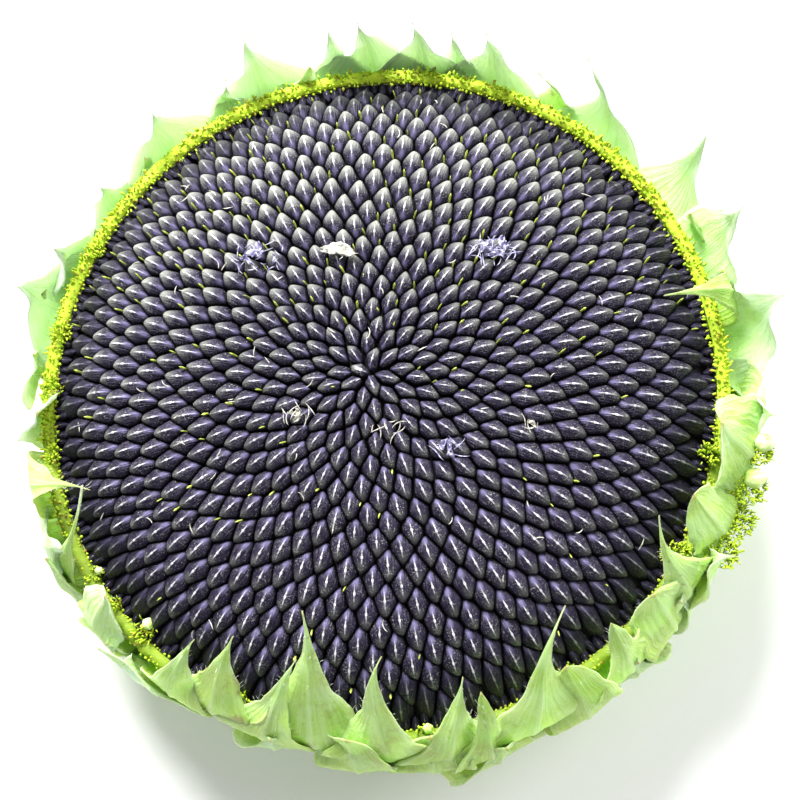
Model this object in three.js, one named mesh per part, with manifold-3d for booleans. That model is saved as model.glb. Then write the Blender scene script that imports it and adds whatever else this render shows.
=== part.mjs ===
// A ripe sunflower seed head, cut from its stalk and lying on its back, seeds up.
// Millimetres, +Z up. The origin is the middle of the cut face of the stem stub, on which the head rests.
import * as THREE from 'three';
import { mergeVertices } from 'three/addons/utils/BufferGeometryUtils.js';
import Module from 'manifold-3d';

const wasm = await Module();
wasm.setup();

// Driving dimensions
const SEED_COUNT = 780;
const SEED_FIELD_RADIUS = 74.6;
const SEED_FIELD_EDGE = 76.8;
const GOLDEN_ANGLE = 137.508;
const FIRST_SEED_ANGLE = 156;
const SEED_STRETCH = 1.3;
const SPARE_SEEDS = 140;
const SPARE_SEED_REACH = 3;
const SPARE_SEED_SPACING = 1 / 30;
const GROUND_REACH = 12;
const DOME_TOP = 50;
const DOME_FALL = 7.5;
const EDGE_FALL = 7.5;
const FLOOR_FALL = 4;
const VALLEY_DEPTH = 2.3;
const RIDGE_HALF_LENGTH = 0.27;
const RIDGE_DROP = 0.3;
const SEED_LAYER = 11;
const CORNER_MERGE = 1.3;
const STUB_RADIUS = 14.5;
const STUB_HEIGHT = 10.5;
const STUB_FLUTES = 12;
const STUB_FLUTE_DEPTH = 0.025;
const BACK_RIBS = 18;
const BACK_RIB_DEPTH = 0.7;
const BACK_LOBES = 7;
const BACK_LOBE_DEPTH = 0.3;
const BACK_INNER = [34, 9.6];
const BACK_OUTER = [48, 10.4];
const GAP = 0.3;
const COLLAR_THICKNESS = 2;
const RIM_INNER_RADIUS = 77.2;
const RIM_OUTER_RADIUS = 80.5;
const LIP_HEIGHT = 32.5;
const RIM_HEIGHT = 3.6;
const RIM_CREST_RADIUS = 79;
const RIM_STEPS = 64;
const ROUND_STEPS = 54;
const BLADE_THICKNESS = 1.5;
const BLADE_EDGE = 0.7;
const BLADE_TIP_WIDTH = 0.9;
const OUTER_BRACTS = 14;
const INNER_FLATTENING = 0.8;
const NESTING = 1.4;
const FLOOR_RINGS = 4;
const DOME_RINGS = 4;

// How the seeds crowd outwards: the squared share of the field's radius that a seed lies at, as a cubic in
// the share of the seeds that lie inside it.
const SEED_CROWDING = [0.66, 0.84, -0.5];

// The flank of the receptacle, from the back up to the lip, as radius and height. The collar lies on it.
const FLANK = [[60, 13.8], [70, 17.8], [77, 26.5], [79.5, LIP_HEIGHT]];

// Where each row of bracts leaves the flank, and the point that its blades swell out towards.
const BRACT_ROWS = {
  inner: { root: [77.6, 24.5], swell: [93.6, 33] },
  middle: { root: [74, 19.5], swell: [95.6, 26] },
  outer: { root: [68.6, 15], swell: [97, 19] },
};

// Where the whorl is a little flattened: the azimuth, over how many degrees, and how much less the
// outermost bracts stand out there. The rows further in take a share of it, INNER_FLATTENING.
const FLAT_SIDES = [[70, 60, 5], [242, 26, 4.5]];

// How bracts narrow: where they start to, the share of the width that is left past there, and how much
// the steps along a blade crowd towards its tip, where less than 1 is more. Plain shapes need fewer steps.
const OUTLINES = {
  spike: { start: 0.17, left: (past) => (1 - past) ** 2.1, crowding: 0.85, steps: 4 },
  tail: { start: 0.36, left: (past) => (1 - past) ** 1.65, crowding: 0.85, steps: 5 },
  broad: { start: 0.5, left: broadPart, crowding: 0.7, steps: 4 },
  blunt: { start: 0.52, left: (past) => (1 - past ** 2.4) ** 0.75, crowding: 0.6, steps: 4 },
};

// Each bract as it stands on the head: row, outline, azimuth of the base, azimuth, radius and height of the
// tip, width, the direction in which the tip points, from 0 for straight out through 90 for straight up,
// and how far the tip hooks sideways.
const BRACTS = [
  ['middle', 'tail', 7, 7, 91, 52, 28, 72, 0],
  ['inner', 'tail', 14, 14, 66, 47, 17, 165, 0],
  ['inner', 'broad', 23, 23, 91, 56, 26, 70, 0],
  ['middle', 'spike', 35, 35, 95, 50, 30, 50, 0],
  ['inner', 'spike', 50, 54, 86, 56, 31, 75, 0],
  ['middle', 'spike', 58, 58, 79, 52, 22, 95, 3],
  ['inner', 'spike', 70, 70, 82, 56, 26, 90, 0],
  ['middle', 'spike', 76, 76, 82, 54, 25, 88, 0],
  ['inner', 'spike', 82, 82, 81, 57, 23, 92, 0],
  ['inner', 'spike', 91, 91, 81, 58, 32, 90, 0],
  ['middle', 'spike', 97, 96, 82, 56, 26, 88, 0],
  ['inner', 'spike', 110, 110, 87, 53, 31, 68, -1.5],
  ['middle', 'spike', 117, 115, 82, 46, 24, 80, 0],
  ['inner', 'spike', 129, 128, 85, 48, 29, 60, 0],
  ['middle', 'spike', 142, 143, 83, 44, 28, 75, 0],
  ['middle', 'broad', 155, 156, 82, 46, 22, 70, 0],
  ['inner', 'spike', 168, 164, 89, 50, 33, 45, 0],
  ['middle', 'blunt', 182, 184, 80, 44, 20, 85, 0],
  ['inner', 'tail', 193, 200, 67, 48, 22, 165, 1.5],
  ['middle', 'broad', 203, 208, 79, 44, 22, 110, 0],
  ['middle', 'tail', 209, 204, 68, 50, 12, 140, -4],
  ['inner', 'blunt', 220, 219, 76, 44, 17, 120, 0],
  ['middle', 'tail', 233, 224, 85, 42, 26, 60, 0],
  ['inner', 'tail', 236, 236, 69, 48, 20, 140, 1],
  ['inner', 'tail', 243, 243, 64, 51, 27, 140, 0.6],
  ['inner', 'tail', 252, 256, 64, 51, 24, 140, 0.6],
  ['inner', 'tail', 260, 258, 54, 56, 34, 150, -1.6],
  ['middle', 'blunt', 267, 266, 79, 41, 22, 110, 0],
  ['inner', 'tail', 272, 270, 62, 54, 31, 145, 3],
  ['middle', 'blunt', 278, 279, 79, 41, 22, 110, 0],
  ['inner', 'tail', 281, 287, 69, 50, 25, 140, 0],
  ['middle', 'broad', 287, 289, 73, 48, 21, 140, 0],
  ['inner', 'tail', 294, 307, 66, 56, 38, 150, 4.5],
  ['middle', 'blunt', 302, 303, 76, 45, 20, 150, 0],
  ['inner', 'broad', 311, 313, 75, 46, 27, 150, 0],
  ['middle', 'blunt', 320, 321, 79, 44, 24, 120, 0],
  ['inner', 'tail', 325, 331, 68, 50, 31, 160, 4.5],
  ['middle', 'tail', 329, 332, 88, 46, 19, 0, 0],
  ['inner', 'blunt', 335, 338, 75, 46, 19, 140, 0],
  ['inner', 'blunt', 347, 350, 77, 49, 30, 120, 0],
  ['middle', 'tail', 354, 351, 87, 50, 27, 60, 0],
];

function broadPart(past) {
  return (1 - past) * (1 - 0.5 * Math.sin(Math.PI * past) ** 1.5);
}

// A scattered number from 0 to 1 that is always the same for the same two whole numbers.
function scatter(index, salt) {
  const wave = Math.sin(index * 12.9898 + salt * 78.233) * 43758.5453;
  return wave - Math.floor(wave);
}

function radians(degrees) {
  return degrees * Math.PI / 180;
}

function around(radius, azimuth, height) {
  return new THREE.Vector3(radius * Math.cos(azimuth), radius * Math.sin(azimuth), height);
}

// Join a geometry's shared corners, so that only positions are left.
function weld(geometry) {
  geometry.deleteAttribute('normal');
  geometry.deleteAttribute('uv');
  return mergeVertices(geometry, 1e-4);
}

function toManifold(geometry) {
  const welded = weld(geometry);
  return new wasm.Manifold(new wasm.Mesh({
    numProp: 3,
    vertProperties: new Float32Array(welded.attributes.position.array),
    triVerts: new Uint32Array(welded.index.array),
  }));
}

function fromManifold(solid) {
  const mesh = solid.getMesh();
  const geometry = new THREE.BufferGeometry();
  geometry.setAttribute('position', new THREE.BufferAttribute(new Float32Array(mesh.vertProperties), 3));
  geometry.setIndex(new THREE.BufferAttribute(new Uint32Array(mesh.triVerts), 1));
  return geometry;
}

// The largest separate body of a cut solid. The rest is loose scrap.
function largestBody(solid) {
  return solid.decompose().reduce((best, body) => (body.volume() > best.volume() ? body : best));
}

function geometryFrom(points, triangles) {
  const geometry = new THREE.BufferGeometry().setFromPoints(points);
  geometry.setIndex(triangles.flat());
  return geometry;
}

// Turn an outline of [radius, height] points about the Z axis. It runs outwards at the bottom.
function turned(outline, steps = ROUND_STEPS) {
  const profile = outline.map(([radius, height]) => new THREE.Vector2(radius, height));
  return new THREE.LatheGeometry(profile, steps).rotateX(Math.PI / 2);
}

// Height of the seeds' tops at a radius: a low dome that rolls over steeply at its edge.
function seedTop(radius) {
  const share = radius / SEED_FIELD_RADIUS;
  return DOME_TOP - DOME_FALL * share ** 2 - EDGE_FALL * share ** 8;
}

// Height of the receptacle's floor, which the seeds stand in.
function floorHeight(radius) {
  const share = Math.min(1, radius / SEED_FIELD_RADIUS);
  return DOME_TOP - SEED_LAYER - GAP - DOME_FALL * share ** 2 - FLOOR_FALL * share ** 4;
}

// The floor as an outline from the middle out to the rim. The seeds' underside follows it.
function floorOutline() {
  const outline = [];
  for (let k = 0; k <= FLOOR_RINGS; k += 1) {
    const radius = SEED_FIELD_RADIUS * k / FLOOR_RINGS;
    outline.push([radius, floorHeight(radius)]);
  }
  return outline;
}

function smooth(low, high, value) {
  return THREE.MathUtils.smoothstep(value, low, high);
}

function seedPlace(index) {
  const share = (index + 0.5) / SEED_COUNT;
  const squared = SEED_CROWDING.reduce((sum, factor, k) => sum + factor * share ** (k + 1), 0);
  const radius = SEED_FIELD_RADIUS * Math.sqrt(squared);
  return { radius, azimuth: radians(FIRST_SEED_ANGLE + index * GOLDEN_ANGLE) };
}

// The outlines are worked out in a plane where radii are squeezed, so that seeds come out long towards
// the rim. These two turn a real radius into that plane and back.
function squeeze(radius) {
  return SEED_FIELD_RADIUS * (radius / SEED_FIELD_RADIUS) ** (1 / SEED_STRETCH);
}

function unsqueeze(radius) {
  return SEED_FIELD_RADIUS * (radius / SEED_FIELD_RADIUS) ** SEED_STRETCH;
}

// The part of a polygon that is nearer to one point than to another.
function nearerPart(polygon, here, there) {
  const middleX = (here.x + there.x) / 2;
  const middleY = (here.y + there.y) / 2;
  const side = ([x, y]) => (x - middleX) * (there.x - here.x) + (y - middleY) * (there.y - here.y);
  const kept = [];
  polygon.forEach((corner, k) => {
    const next = polygon[(k + 1) % polygon.length];
    const a = side(corner);
    const b = side(next);
    if (a <= 0) kept.push(corner);
    if (a * b < 0) {
      const t = a / (a - b);
      kept.push([corner[0] + (next[0] - corner[0]) * t, corner[1] + (next[1] - corner[1]) * t]);
    }
  });
  return kept;
}

// The ground that each seed takes: all that is nearer to it than to any other. Seeds past the last real
// one stand in for the rim, so that the outermost grounds close.
function seedGrounds() {
  const reach = GROUND_REACH;
  const centres = [];
  for (let n = 0; n < SEED_COUNT + SPARE_SEEDS; n += 1) {
    const { radius, azimuth } = seedPlace(Math.min(n, SEED_COUNT - 1));
    const past = n - SEED_COUNT;
    const grown = past < 0 ? radius : SEED_FIELD_RADIUS + SPARE_SEED_REACH + past * SPARE_SEED_SPACING;
    const turn = past < 0 ? azimuth : radians(FIRST_SEED_ANGLE + n * GOLDEN_ANGLE);
    const flat = squeeze(grown);
    centres.push({ x: flat * Math.cos(turn), y: flat * Math.sin(turn), radius, azimuth });
  }
  return centres.slice(0, SEED_COUNT).map((here) => {
    let ground = [[-reach, -reach], [reach, -reach], [reach, reach], [-reach, reach]]
      .map(([x, y]) => [here.x + x, here.y + y]);
    centres.forEach((there) => {
      const apart = Math.hypot(there.x - here.x, there.y - here.y);
      if (apart > 0 && apart < 2 * reach) ground = nearerPart(ground, here, there);
    });
    return { here, ground };
  });
}

// All seeds as one body: a ridge on each, and a valley where each meets its neighbours.
function seedDisc() {
  const points = [];
  const triangles = [];
  const corners = [];
  const edges = new Map();

  // Corners closer than CORNER_MERGE are one, so that no edge is too short.
  function cornerIndex([x, y]) {
    const flat = Math.hypot(x, y);
    const radius = Math.min(unsqueeze(flat), SEED_FIELD_EDGE);
    const place = around(radius, Math.atan2(y, x), seedTop(radius) - VALLEY_DEPTH);
    const known = corners.find((corner) => (
      Math.hypot(corner.place.x - place.x, corner.place.y - place.y) < CORNER_MERGE));
    if (known) return known.index;
    corners.push({ place, index: points.length });
    points.push(place);
    return points.length - 1;
  }

  seedGrounds().forEach(({ here, ground }) => {
    const loop = ground.map(cornerIndex).filter((corner, k, all) => corner !== all[(k + 1) % all.length]);
    const outwards = new THREE.Vector2(Math.cos(here.azimuth), Math.sin(here.azimuth));
    const along = (index) => points[index].x * outwards.x + points[index].y * outwards.y;
    const reachIn = Math.min(...loop.map(along));
    const reachOut = Math.max(...loop.map(along));
    const ridge = [-1, 1].map((end) => {
      const radius = (reachIn + reachOut) / 2 + end * RIDGE_HALF_LENGTH * (reachOut - reachIn);
      const height = seedTop(Math.min(radius, SEED_FIELD_EDGE)) - (end > 0 ? RIDGE_DROP : 0);
      points.push(around(radius, here.azimuth, height));
      return points.length - 1;
    });
    const middle = (reachIn + reachOut) / 2;
    const ends = loop.map((corner, k) => (
      (along(corner) + along(loop[(k + 1) % loop.length])) / 2 > middle ? 1 : 0));
    loop.forEach((corner, k) => {
      const next = loop[(k + 1) % loop.length];
      const before = ends[(k + loop.length - 1) % loop.length];
      triangles.push([ridge[ends[k]], corner, next]);
      if (before !== ends[k]) triangles.push([ridge[before], corner, ridge[ends[k]]]);
      edges.set(`${corner},${next}`, [corner, next]);
    });
  });

  // The outer wall hangs from the edges that only one seed has.
  const base = FLANK[1][1];
  const below = new Map();
  const foot = (index) => {
    if (!below.has(index)) {
      below.set(index, points.length);
      points.push(new THREE.Vector3(points[index].x, points[index].y, base));
    }
    return below.get(index);
  };
  const centre = points.push(new THREE.Vector3(0, 0, base)) - 1;
  edges.forEach(([from, to]) => {
    if (edges.has(`${to},${from}`)) return;
    triangles.push([from, foot(from), to], [to, foot(from), foot(to)], [foot(to), foot(from), centre]);
  });

  const underside = floorOutline().map(([radius, height]) => [radius, height + GAP]);
  const wide = SEED_FIELD_RADIUS * 1.1;
  const high = DOME_TOP + 5;
  const layer = turned([...underside, [wide, floorHeight(wide) + GAP], [wide, high], [0, high]]);
  return fromManifold(toManifold(geometryFrom(points, triangles)).intersect(toManifold(layer)));
}

// The fleshy back of the head with its stub of stem, ribbed where the strands of the stem run out.
function receptacle() {
  const outline = [
    [0, 0], [STUB_RADIUS, 0], [STUB_RADIUS + 0.4, STUB_HEIGHT * 0.5], [STUB_RADIUS + 2.5, STUB_HEIGHT * 0.9],
    [STUB_RADIUS + 7, STUB_HEIGHT], BACK_INNER, BACK_OUTER,
    ...FLANK.map(([radius, height]) => [radius - GAP, height + GAP / 2]),
    [RIM_INNER_RADIUS, LIP_HEIGHT + GAP / 2], [RIM_INNER_RADIUS, floorHeight(SEED_FIELD_RADIUS)],
    ...floorOutline().reverse(),
  ];
  const geometry = weld(turned(outline));
  const place = geometry.attributes.position;
  for (let k = 0; k < place.count; k += 1) {
    const x = place.getX(k);
    const y = place.getY(k);
    const z = place.getZ(k);
    const radius = Math.hypot(x, y);
    const azimuth = Math.atan2(y, x);
    const onStub = z < STUB_HEIGHT * 0.95 && radius < STUB_RADIUS + 4 && radius > 1;
    const swell = onStub ? 1 + STUB_FLUTE_DEPTH * Math.cos(STUB_FLUTES * azimuth) : 1;
    const swollen = smooth(STUB_RADIUS + 3, STUB_RADIUS * 2, radius);
    const onBack = z < FLANK[0][1] ? swollen * (1 - smooth(BACK_OUTER[0], FLANK[0][0], radius)) : 0;
    const lobe = BACK_LOBE_DEPTH * Math.cos(BACK_LOBES * azimuth + 1);
    const rib = BACK_RIB_DEPTH * Math.cos(BACK_RIBS * azimuth) + lobe;
    place.setXYZ(k, x * swell, y * swell, z - rib * onBack);
  }
  return geometry;
}

// The crowded dried florets between seeds and bracts, as one ring with a lumpy top.
function rimFlorets() {
  const base = LIP_HEIGHT + GAP * 1.5;
  const points = [];
  const triangles = [];
  for (let k = 0; k < RIM_STEPS; k += 1) {
    const azimuth = 2 * Math.PI * k / RIM_STEPS;
    const lift = RIM_HEIGHT * (0.7 + 0.6 * scatter(k, 1));
    const lean = 0.5 * (scatter(k, 2) - 0.5);
    points.push(
      around(RIM_INNER_RADIUS + 0.1, azimuth, base),
      around(RIM_OUTER_RADIUS - 0.4, azimuth, base),
      around(RIM_OUTER_RADIUS + lean * 0.5, azimuth, base + lift * 0.55),
      around(RIM_CREST_RADIUS + lean, azimuth, base + lift),
      around(RIM_INNER_RADIUS + 0.5 + lean * 0.5, azimuth, base + lift * 0.6),
    );
  }
  const sides = 5;
  for (let k = 0; k < RIM_STEPS; k += 1) {
    const here = k * sides;
    const there = ((k + 1) % RIM_STEPS) * sides;
    for (let j = 0; j < sides; j += 1) {
      const next = (j + 1) % sides;
      triangles.push([here + j, there + j, here + next], [there + j, there + next, here + next]);
    }
  }
  return geometryFrom(points, triangles);
}

// Half the share of a bract's width that it has at t, from its base at 0 to its tip at 1: a slight belly,
// then narrower as its outline says.
function bractWidth(t, { start, left }) {
  const past = THREE.MathUtils.clamp((t - start) / (1 - start), 0, 1);
  const body = 0.42 + 0.08 * Math.sin(Math.PI * Math.min(1, t / 0.42));
  return body * left(past);
}

// How much less the outermost bracts stand out at an azimuth in degrees.
function drawnIn(azimuth) {
  return FLAT_SIDES.reduce((sum, [place, width, depth]) => (
    sum + depth * Math.exp(-(((azimuth - place) / width) ** 2))), 0);
}

// One bract as a closed, slightly cupped blade with a thicker rib along its middle. A nested value of 1
// sets it a little further out than 0, so that neighbours lie over each other and cross less.
function bract(sizes, nested) {
  const [row, outline, baseAzimuth, tipAzimuth, tipRadius, tipHeight, width, pointing, hook] = sizes;
  const { root, swell } = BRACT_ROWS[row];
  const start = new THREE.Vector2(...root);
  const share = row === 'outer' ? 1 : INNER_FLATTENING;
  const bulge = new THREE.Vector2(swell[0] - share * drawnIn(baseAzimuth) + nested * NESTING, swell[1]);
  const tip = new THREE.Vector2(tipRadius, tipHeight);
  const back = new THREE.Vector2(Math.cos(radians(pointing)), Math.sin(radians(pointing)))
    .multiplyScalar(0.38 * tip.distanceTo(bulge));
  const middle = new THREE.CubicBezierCurve(start, bulge, tip.clone().sub(back), tip);
  const place = (t, across) => {
    const { x: radius, y: height } = middle.getPoint(t);
    const sideways = Math.max(0, (t - 0.3) / 0.7) ** 1.5;
    const azimuth = radians(baseAzimuth + (tipAzimuth - baseAzimuth) * sideways);
    const hooked = hook * Math.max(0, (t - 0.68) / 0.32) ** 2;
    return around(radius, azimuth + (across + hooked) / Math.max(radius, 40), height);
  };
  const points = [];
  const lanes = [-1, 0, 1];
  const { steps, crowding } = OUTLINES[outline];
  for (let k = 0; k <= steps; k += 1) {
    const t = (k / steps) ** crowding;
    const half = Math.max(width * bractWidth(t, OUTLINES[outline]), BLADE_TIP_WIDTH / 2);
    lanes.forEach((lane) => {
      const here = place(t, lane * half);
      const up = place(Math.min(1, t + 0.02), lane * half).sub(place(Math.max(0, t - 0.02), lane * half));
      const across = place(t, lane * half + 0.5).sub(place(t, lane * half - 0.5));
      const outwards = across.cross(up).normalize();
      const thick = lane === 0 ? BLADE_THICKNESS * (1 - 0.5 * t) : BLADE_EDGE;
      points.push(here.clone().addScaledVector(outwards, thick / 2));
      points.push(here.clone().addScaledVector(outwards, -thick / 2));
    });
  }
  const triangles = [];
  const at = (k, lane, face) => (k * lanes.length + lane) * 2 + face;
  const strip = (a, b, c, d) => triangles.push([a, b, c], [a, c, d]);
  for (let k = 0; k < steps; k += 1) {
    for (let lane = 0; lane < 2; lane += 1) {
      strip(at(k, lane, 0), at(k, lane + 1, 0), at(k + 1, lane + 1, 0), at(k + 1, lane, 0));
      triangles.push([at(k, lane, 1), at(k + 1, lane + 1, 1), at(k, lane + 1, 1)]);
      triangles.push([at(k, lane, 1), at(k + 1, lane, 1), at(k + 1, lane + 1, 1)]);
    }
    strip(at(k, 0, 1), at(k, 0, 0), at(k + 1, 0, 0), at(k + 1, 0, 1));
    strip(at(k, 2, 0), at(k, 2, 1), at(k + 1, 2, 1), at(k + 1, 2, 0));
  }
  for (let lane = 0; lane < 2; lane += 1) {
    strip(at(0, lane, 1), at(0, lane + 1, 1), at(0, lane + 1, 0), at(0, lane, 0));
    strip(at(steps, lane, 0), at(steps, lane + 1, 0), at(steps, lane + 1, 1), at(steps, lane, 1));
  }
  return geometryFrom(points, triangles);
}

// The outermost row hugs the flank, by rule, and hides the roots of the rows above it.
function outerBract(index) {
  const base = (index + 0.7 * (scatter(index, 3) - 0.5)) * 360 / OUTER_BRACTS;
  const side = 10 * (scatter(index, 4) - 0.5);
  const radius = 84.5 + 2.5 * scatter(index, 5) - drawnIn(base);
  const height = 33 + 7 * scatter(index, 6);
  const width = 26 + 5 * scatter(index, 7);
  const pointing = 75 + 20 * scatter(index, 8);
  return bract(['outer', 'broad', base, base + side, radius, height, width, pointing, 0], index % 2);
}

// All bracts and the collar in which their bases grow together, clear of what they surround.
function involucre() {
  const outside = FLANK.map(([radius, height], k) => {
    const [r0, z0] = FLANK[Math.max(0, k - 1)];
    const [r1, z1] = FLANK[Math.min(FLANK.length - 1, k + 1)];
    const length = Math.hypot(r1 - r0, z1 - z0);
    return [radius + COLLAR_THICKNESS * (z1 - z0) / length, height - COLLAR_THICKNESS * (r1 - r0) / length];
  });
  const ring = [...outside, ...[...FLANK].reverse(), outside[0]];
  const dome = [];
  for (let k = 0; k <= DOME_RINGS; k += 1) {
    const radius = SEED_FIELD_EDGE * (1 - k / DOME_RINGS);
    dome.push([radius, seedTop(radius) + 2 * GAP]);
  }
  const keptClear = [
    [0, FLANK[0][1]], ...FLANK, [RIM_OUTER_RADIUS + 2 * GAP, LIP_HEIGHT + GAP],
    [RIM_OUTER_RADIUS + 2 * GAP, LIP_HEIGHT + RIM_HEIGHT],
    [RIM_CREST_RADIUS + 0.2, LIP_HEIGHT + 1.3 * RIM_HEIGHT + 3 * GAP],
    [RIM_INNER_RADIUS + GAP, LIP_HEIGHT + RIM_HEIGHT + 2 * GAP], ...dome,
  ];
  let whole = toManifold(turned(ring));
  BRACTS.forEach((one, index) => {
    whole = whole.add(toManifold(bract(one, index % 2)));
  });
  for (let k = 0; k < OUTER_BRACTS; k += 1) {
    whole = whole.add(toManifold(outerBract(k)));
  }
  return fromManifold(largestBody(whole.subtract(toManifold(turned(keptClear)))));
}

function piece(name, geometry, colour, roughness) {
  const finish = new THREE.MeshStandardMaterial({ color: colour, roughness, metalness: 0 });
  geometry.computeVertexNormals();
  const mesh = new THREE.Mesh(geometry, finish);
  mesh.name = name;
  return mesh;
}

const head = new THREE.Group();
head.name = 'sunflower_seed_head';
head.add(piece('receptacle', receptacle(), '#b8c878', 0.7));
head.add(piece('seed_disc', seedDisc(), '#24212e', 0.4));
head.add(piece('rim_florets', rimFlorets(), '#b4bf2c', 0.85));
head.add(piece('involucre', involucre(), '#b7d878', 0.55));

export default head;
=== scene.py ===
"""The looks of a ripe sunflower seed head that lies on its back, built round its solids."""
import logging
import math
from dataclasses import dataclass, field
from enum import Enum

import bpy
import numpy as np
from mathutils import Matrix, Vector


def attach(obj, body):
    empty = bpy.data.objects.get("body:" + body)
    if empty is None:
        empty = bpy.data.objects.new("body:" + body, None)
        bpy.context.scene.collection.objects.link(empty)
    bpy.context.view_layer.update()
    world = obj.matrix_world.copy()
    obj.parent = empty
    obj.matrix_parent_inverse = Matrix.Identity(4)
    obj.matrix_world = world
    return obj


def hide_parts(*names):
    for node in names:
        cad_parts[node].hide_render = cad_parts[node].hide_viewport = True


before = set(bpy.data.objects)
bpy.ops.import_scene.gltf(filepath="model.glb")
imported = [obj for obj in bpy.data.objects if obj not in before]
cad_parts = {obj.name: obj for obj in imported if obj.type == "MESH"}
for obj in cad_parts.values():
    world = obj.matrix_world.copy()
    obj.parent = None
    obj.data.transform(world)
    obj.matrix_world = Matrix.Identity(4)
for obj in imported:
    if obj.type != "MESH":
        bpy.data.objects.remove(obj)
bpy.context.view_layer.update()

log = logging.getLogger("sunflower_head")

MM = 0.001
GOLDEN_ANGLE = math.radians(137.508)
FULL_TURN = 2 * math.pi

HAIR_HELPER = np.array([0.31, 0.52, 0.79])
HAIR_TAPER = 0.7

Socket = bpy.types.NodeSocket
Colour = tuple[float, float, float]
Solid = tuple[np.ndarray, list[np.ndarray]]
Blade = tuple[np.ndarray, list[np.ndarray], np.ndarray, np.ndarray]
Started = tuple[bpy.types.ShaderNodeTree, "Wiring", bpy.types.Node, bpy.types.Node]


# Small helpers for numbers


def scatter(index: np.ndarray | float, salt: float) -> np.ndarray:
    """Give scattered numbers from 0 to 1, always the same for the same index and salt.

    Args:
        index: Which item the number is for, as one number or an array.
        salt: Which of its numbers.

    Returns:
        The scattered numbers, in the shape of index.
    """
    wave = np.sin(np.asarray(index, float) * 12.9898 + salt * 78.233) * 43758.5453
    return wave - np.floor(wave)


def smooth(low: float, high: float, value: np.ndarray | float) -> np.ndarray:
    """Rise smoothly from 0 at low to 1 at high.

    Args:
        low: Where the rise starts.
        high: Where it ends.
        value: The numbers to look up.

    Returns:
        Their places on the rise.
    """
    share = np.clip((np.asarray(value, float) - low) / (high - low), 0, 1)
    return share * share * (3 - 2 * share)


def around(radius: np.ndarray, azimuth: np.ndarray, height: np.ndarray) -> np.ndarray:
    """Turn cylinder coordinates into points.

    Args:
        radius: Distances from the Z axis.
        azimuth: Angles about it, in radians.
        height: Heights.

    Returns:
        The points, with x, y and z in the last axis.
    """
    radius, azimuth, height = np.broadcast_arrays(radius, azimuth, height)
    return np.stack([radius * np.cos(azimuth), radius * np.sin(azimuth), height], -1)


def angles(steps: int) -> np.ndarray:
    """Give evenly spaced angles round a full turn."""
    return FULL_TURN * np.arange(steps) / steps


def unit(vectors: np.ndarray) -> np.ndarray:
    """Give the vectors in the last axis a length of 1."""
    return vectors / np.maximum(np.linalg.norm(vectors, axis=-1, keepdims=True), 1e-9)


# Meshes, gathered in millimetres


def grid_faces(rows: int, columns: int, closed: bool = False) -> np.ndarray:
    """List the four-cornered faces of a grid of points, numbered row by row.

    Args:
        rows: How many rows of points there are.
        columns: How many points each row has.
        closed: Whether each row's last point also joins its first.

    Returns:
        Point numbers, four to a face.
    """
    strips = columns if closed else columns - 1
    row, column = np.meshgrid(np.arange(rows - 1), np.arange(strips), indexing="ij")
    beside = (column + 1) % columns
    here = row * columns
    above = here + columns
    corners = [here + column, here + beside, above + beside, above + column]
    return np.stack(corners, -1).reshape(-1, 4)


def fan(middle: int, first: int, count: int, turned_over: bool = False) -> np.ndarray:
    """List the triangles that close a ring of points round one in its middle.

    Args:
        middle: The number of the middle point.
        first: The number of the ring's first point.
        count: How many points the ring has.
        turned_over: Whether the triangles face the other way.

    Returns:
        Point numbers, three to a face.
    """
    here = first + np.arange(count)
    there = first + (np.arange(count) + 1) % count
    near, far = (there, here) if turned_over else (here, there)
    return np.stack([np.full(count, middle), near, far], -1)


def spokes_about(along: np.ndarray, helper: np.ndarray, sides: int) -> np.ndarray:
    """Point evenly away from a middle line on all sides.

    Args:
        along: Its directions, one for each ring of spokes.
        helper: A direction that it never runs in.
        sides: How many spokes a ring has.

    Returns:
        The spokes, ring by ring, each with a length of 1.
    """
    first = unit(np.cross(along, helper))
    second = np.cross(along, first)
    turn = angles(sides)[:, None]
    return first[:, None] * np.cos(turn) + second[:, None] * np.sin(turn)


def tube(path: np.ndarray, radii: np.ndarray, sides: int) -> Solid:
    """Build a closed round tube along a path.

    Args:
        path: The points of its middle line.
        radii: Its radius at each of them.
        sides: How many sides it has.

    Returns:
        Its points, and its faces in arrays of one corner count each.
    """
    along = unit(np.gradient(path, axis=0))
    helper = np.array([0.0, 0.0, 1.0]) if abs(along[0, 2]) < 0.8 else np.array([1.0, 0.0, 0.0])
    rings = path[:, None] + spokes_about(along, helper, sides) * radii[:, None, None]
    points = np.concatenate([rings.reshape(-1, 3), path[:1], path[-1:]])
    ends = len(path) * sides
    start_cap = fan(ends, 0, sides, turned_over=True)
    end_cap = fan(ends + 1, ends - sides, sides)
    return points, [grid_faces(len(path), sides, closed=True), start_cap, end_cap]


def needles(roots: np.ndarray, tips: np.ndarray, bend: np.ndarray, radius: float) -> Solid:
    """Build many fine three-sided hairs at once, each with a bend halfway.

    Args:
        roots: Where each hair stands.
        tips: Where each ends.
        bend: How far its middle is pushed aside.
        radius: The radius at the root.

    Returns:
        Their points and faces.
    """
    spokes = spokes_about(unit(tips - roots), HAIR_HELPER, 3)
    low = roots[:, None] + spokes * radius
    middle = ((roots + tips) / 2 + bend)[:, None] + spokes * radius * HAIR_TAPER
    points = np.concatenate([low, middle, tips[:, None]], axis=1).reshape(-1, 3)
    sides = np.array([[0, 1, 4, 3], [1, 2, 5, 4], [2, 0, 3, 5]])
    ends = np.array([[3, 4, 6], [4, 5, 6], [5, 3, 6], [0, 2, 1]])
    offset = 7 * np.arange(len(roots))[:, None, None]
    return points, [(sides + offset).reshape(-1, 4), (ends + offset).reshape(-1, 3)]


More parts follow.
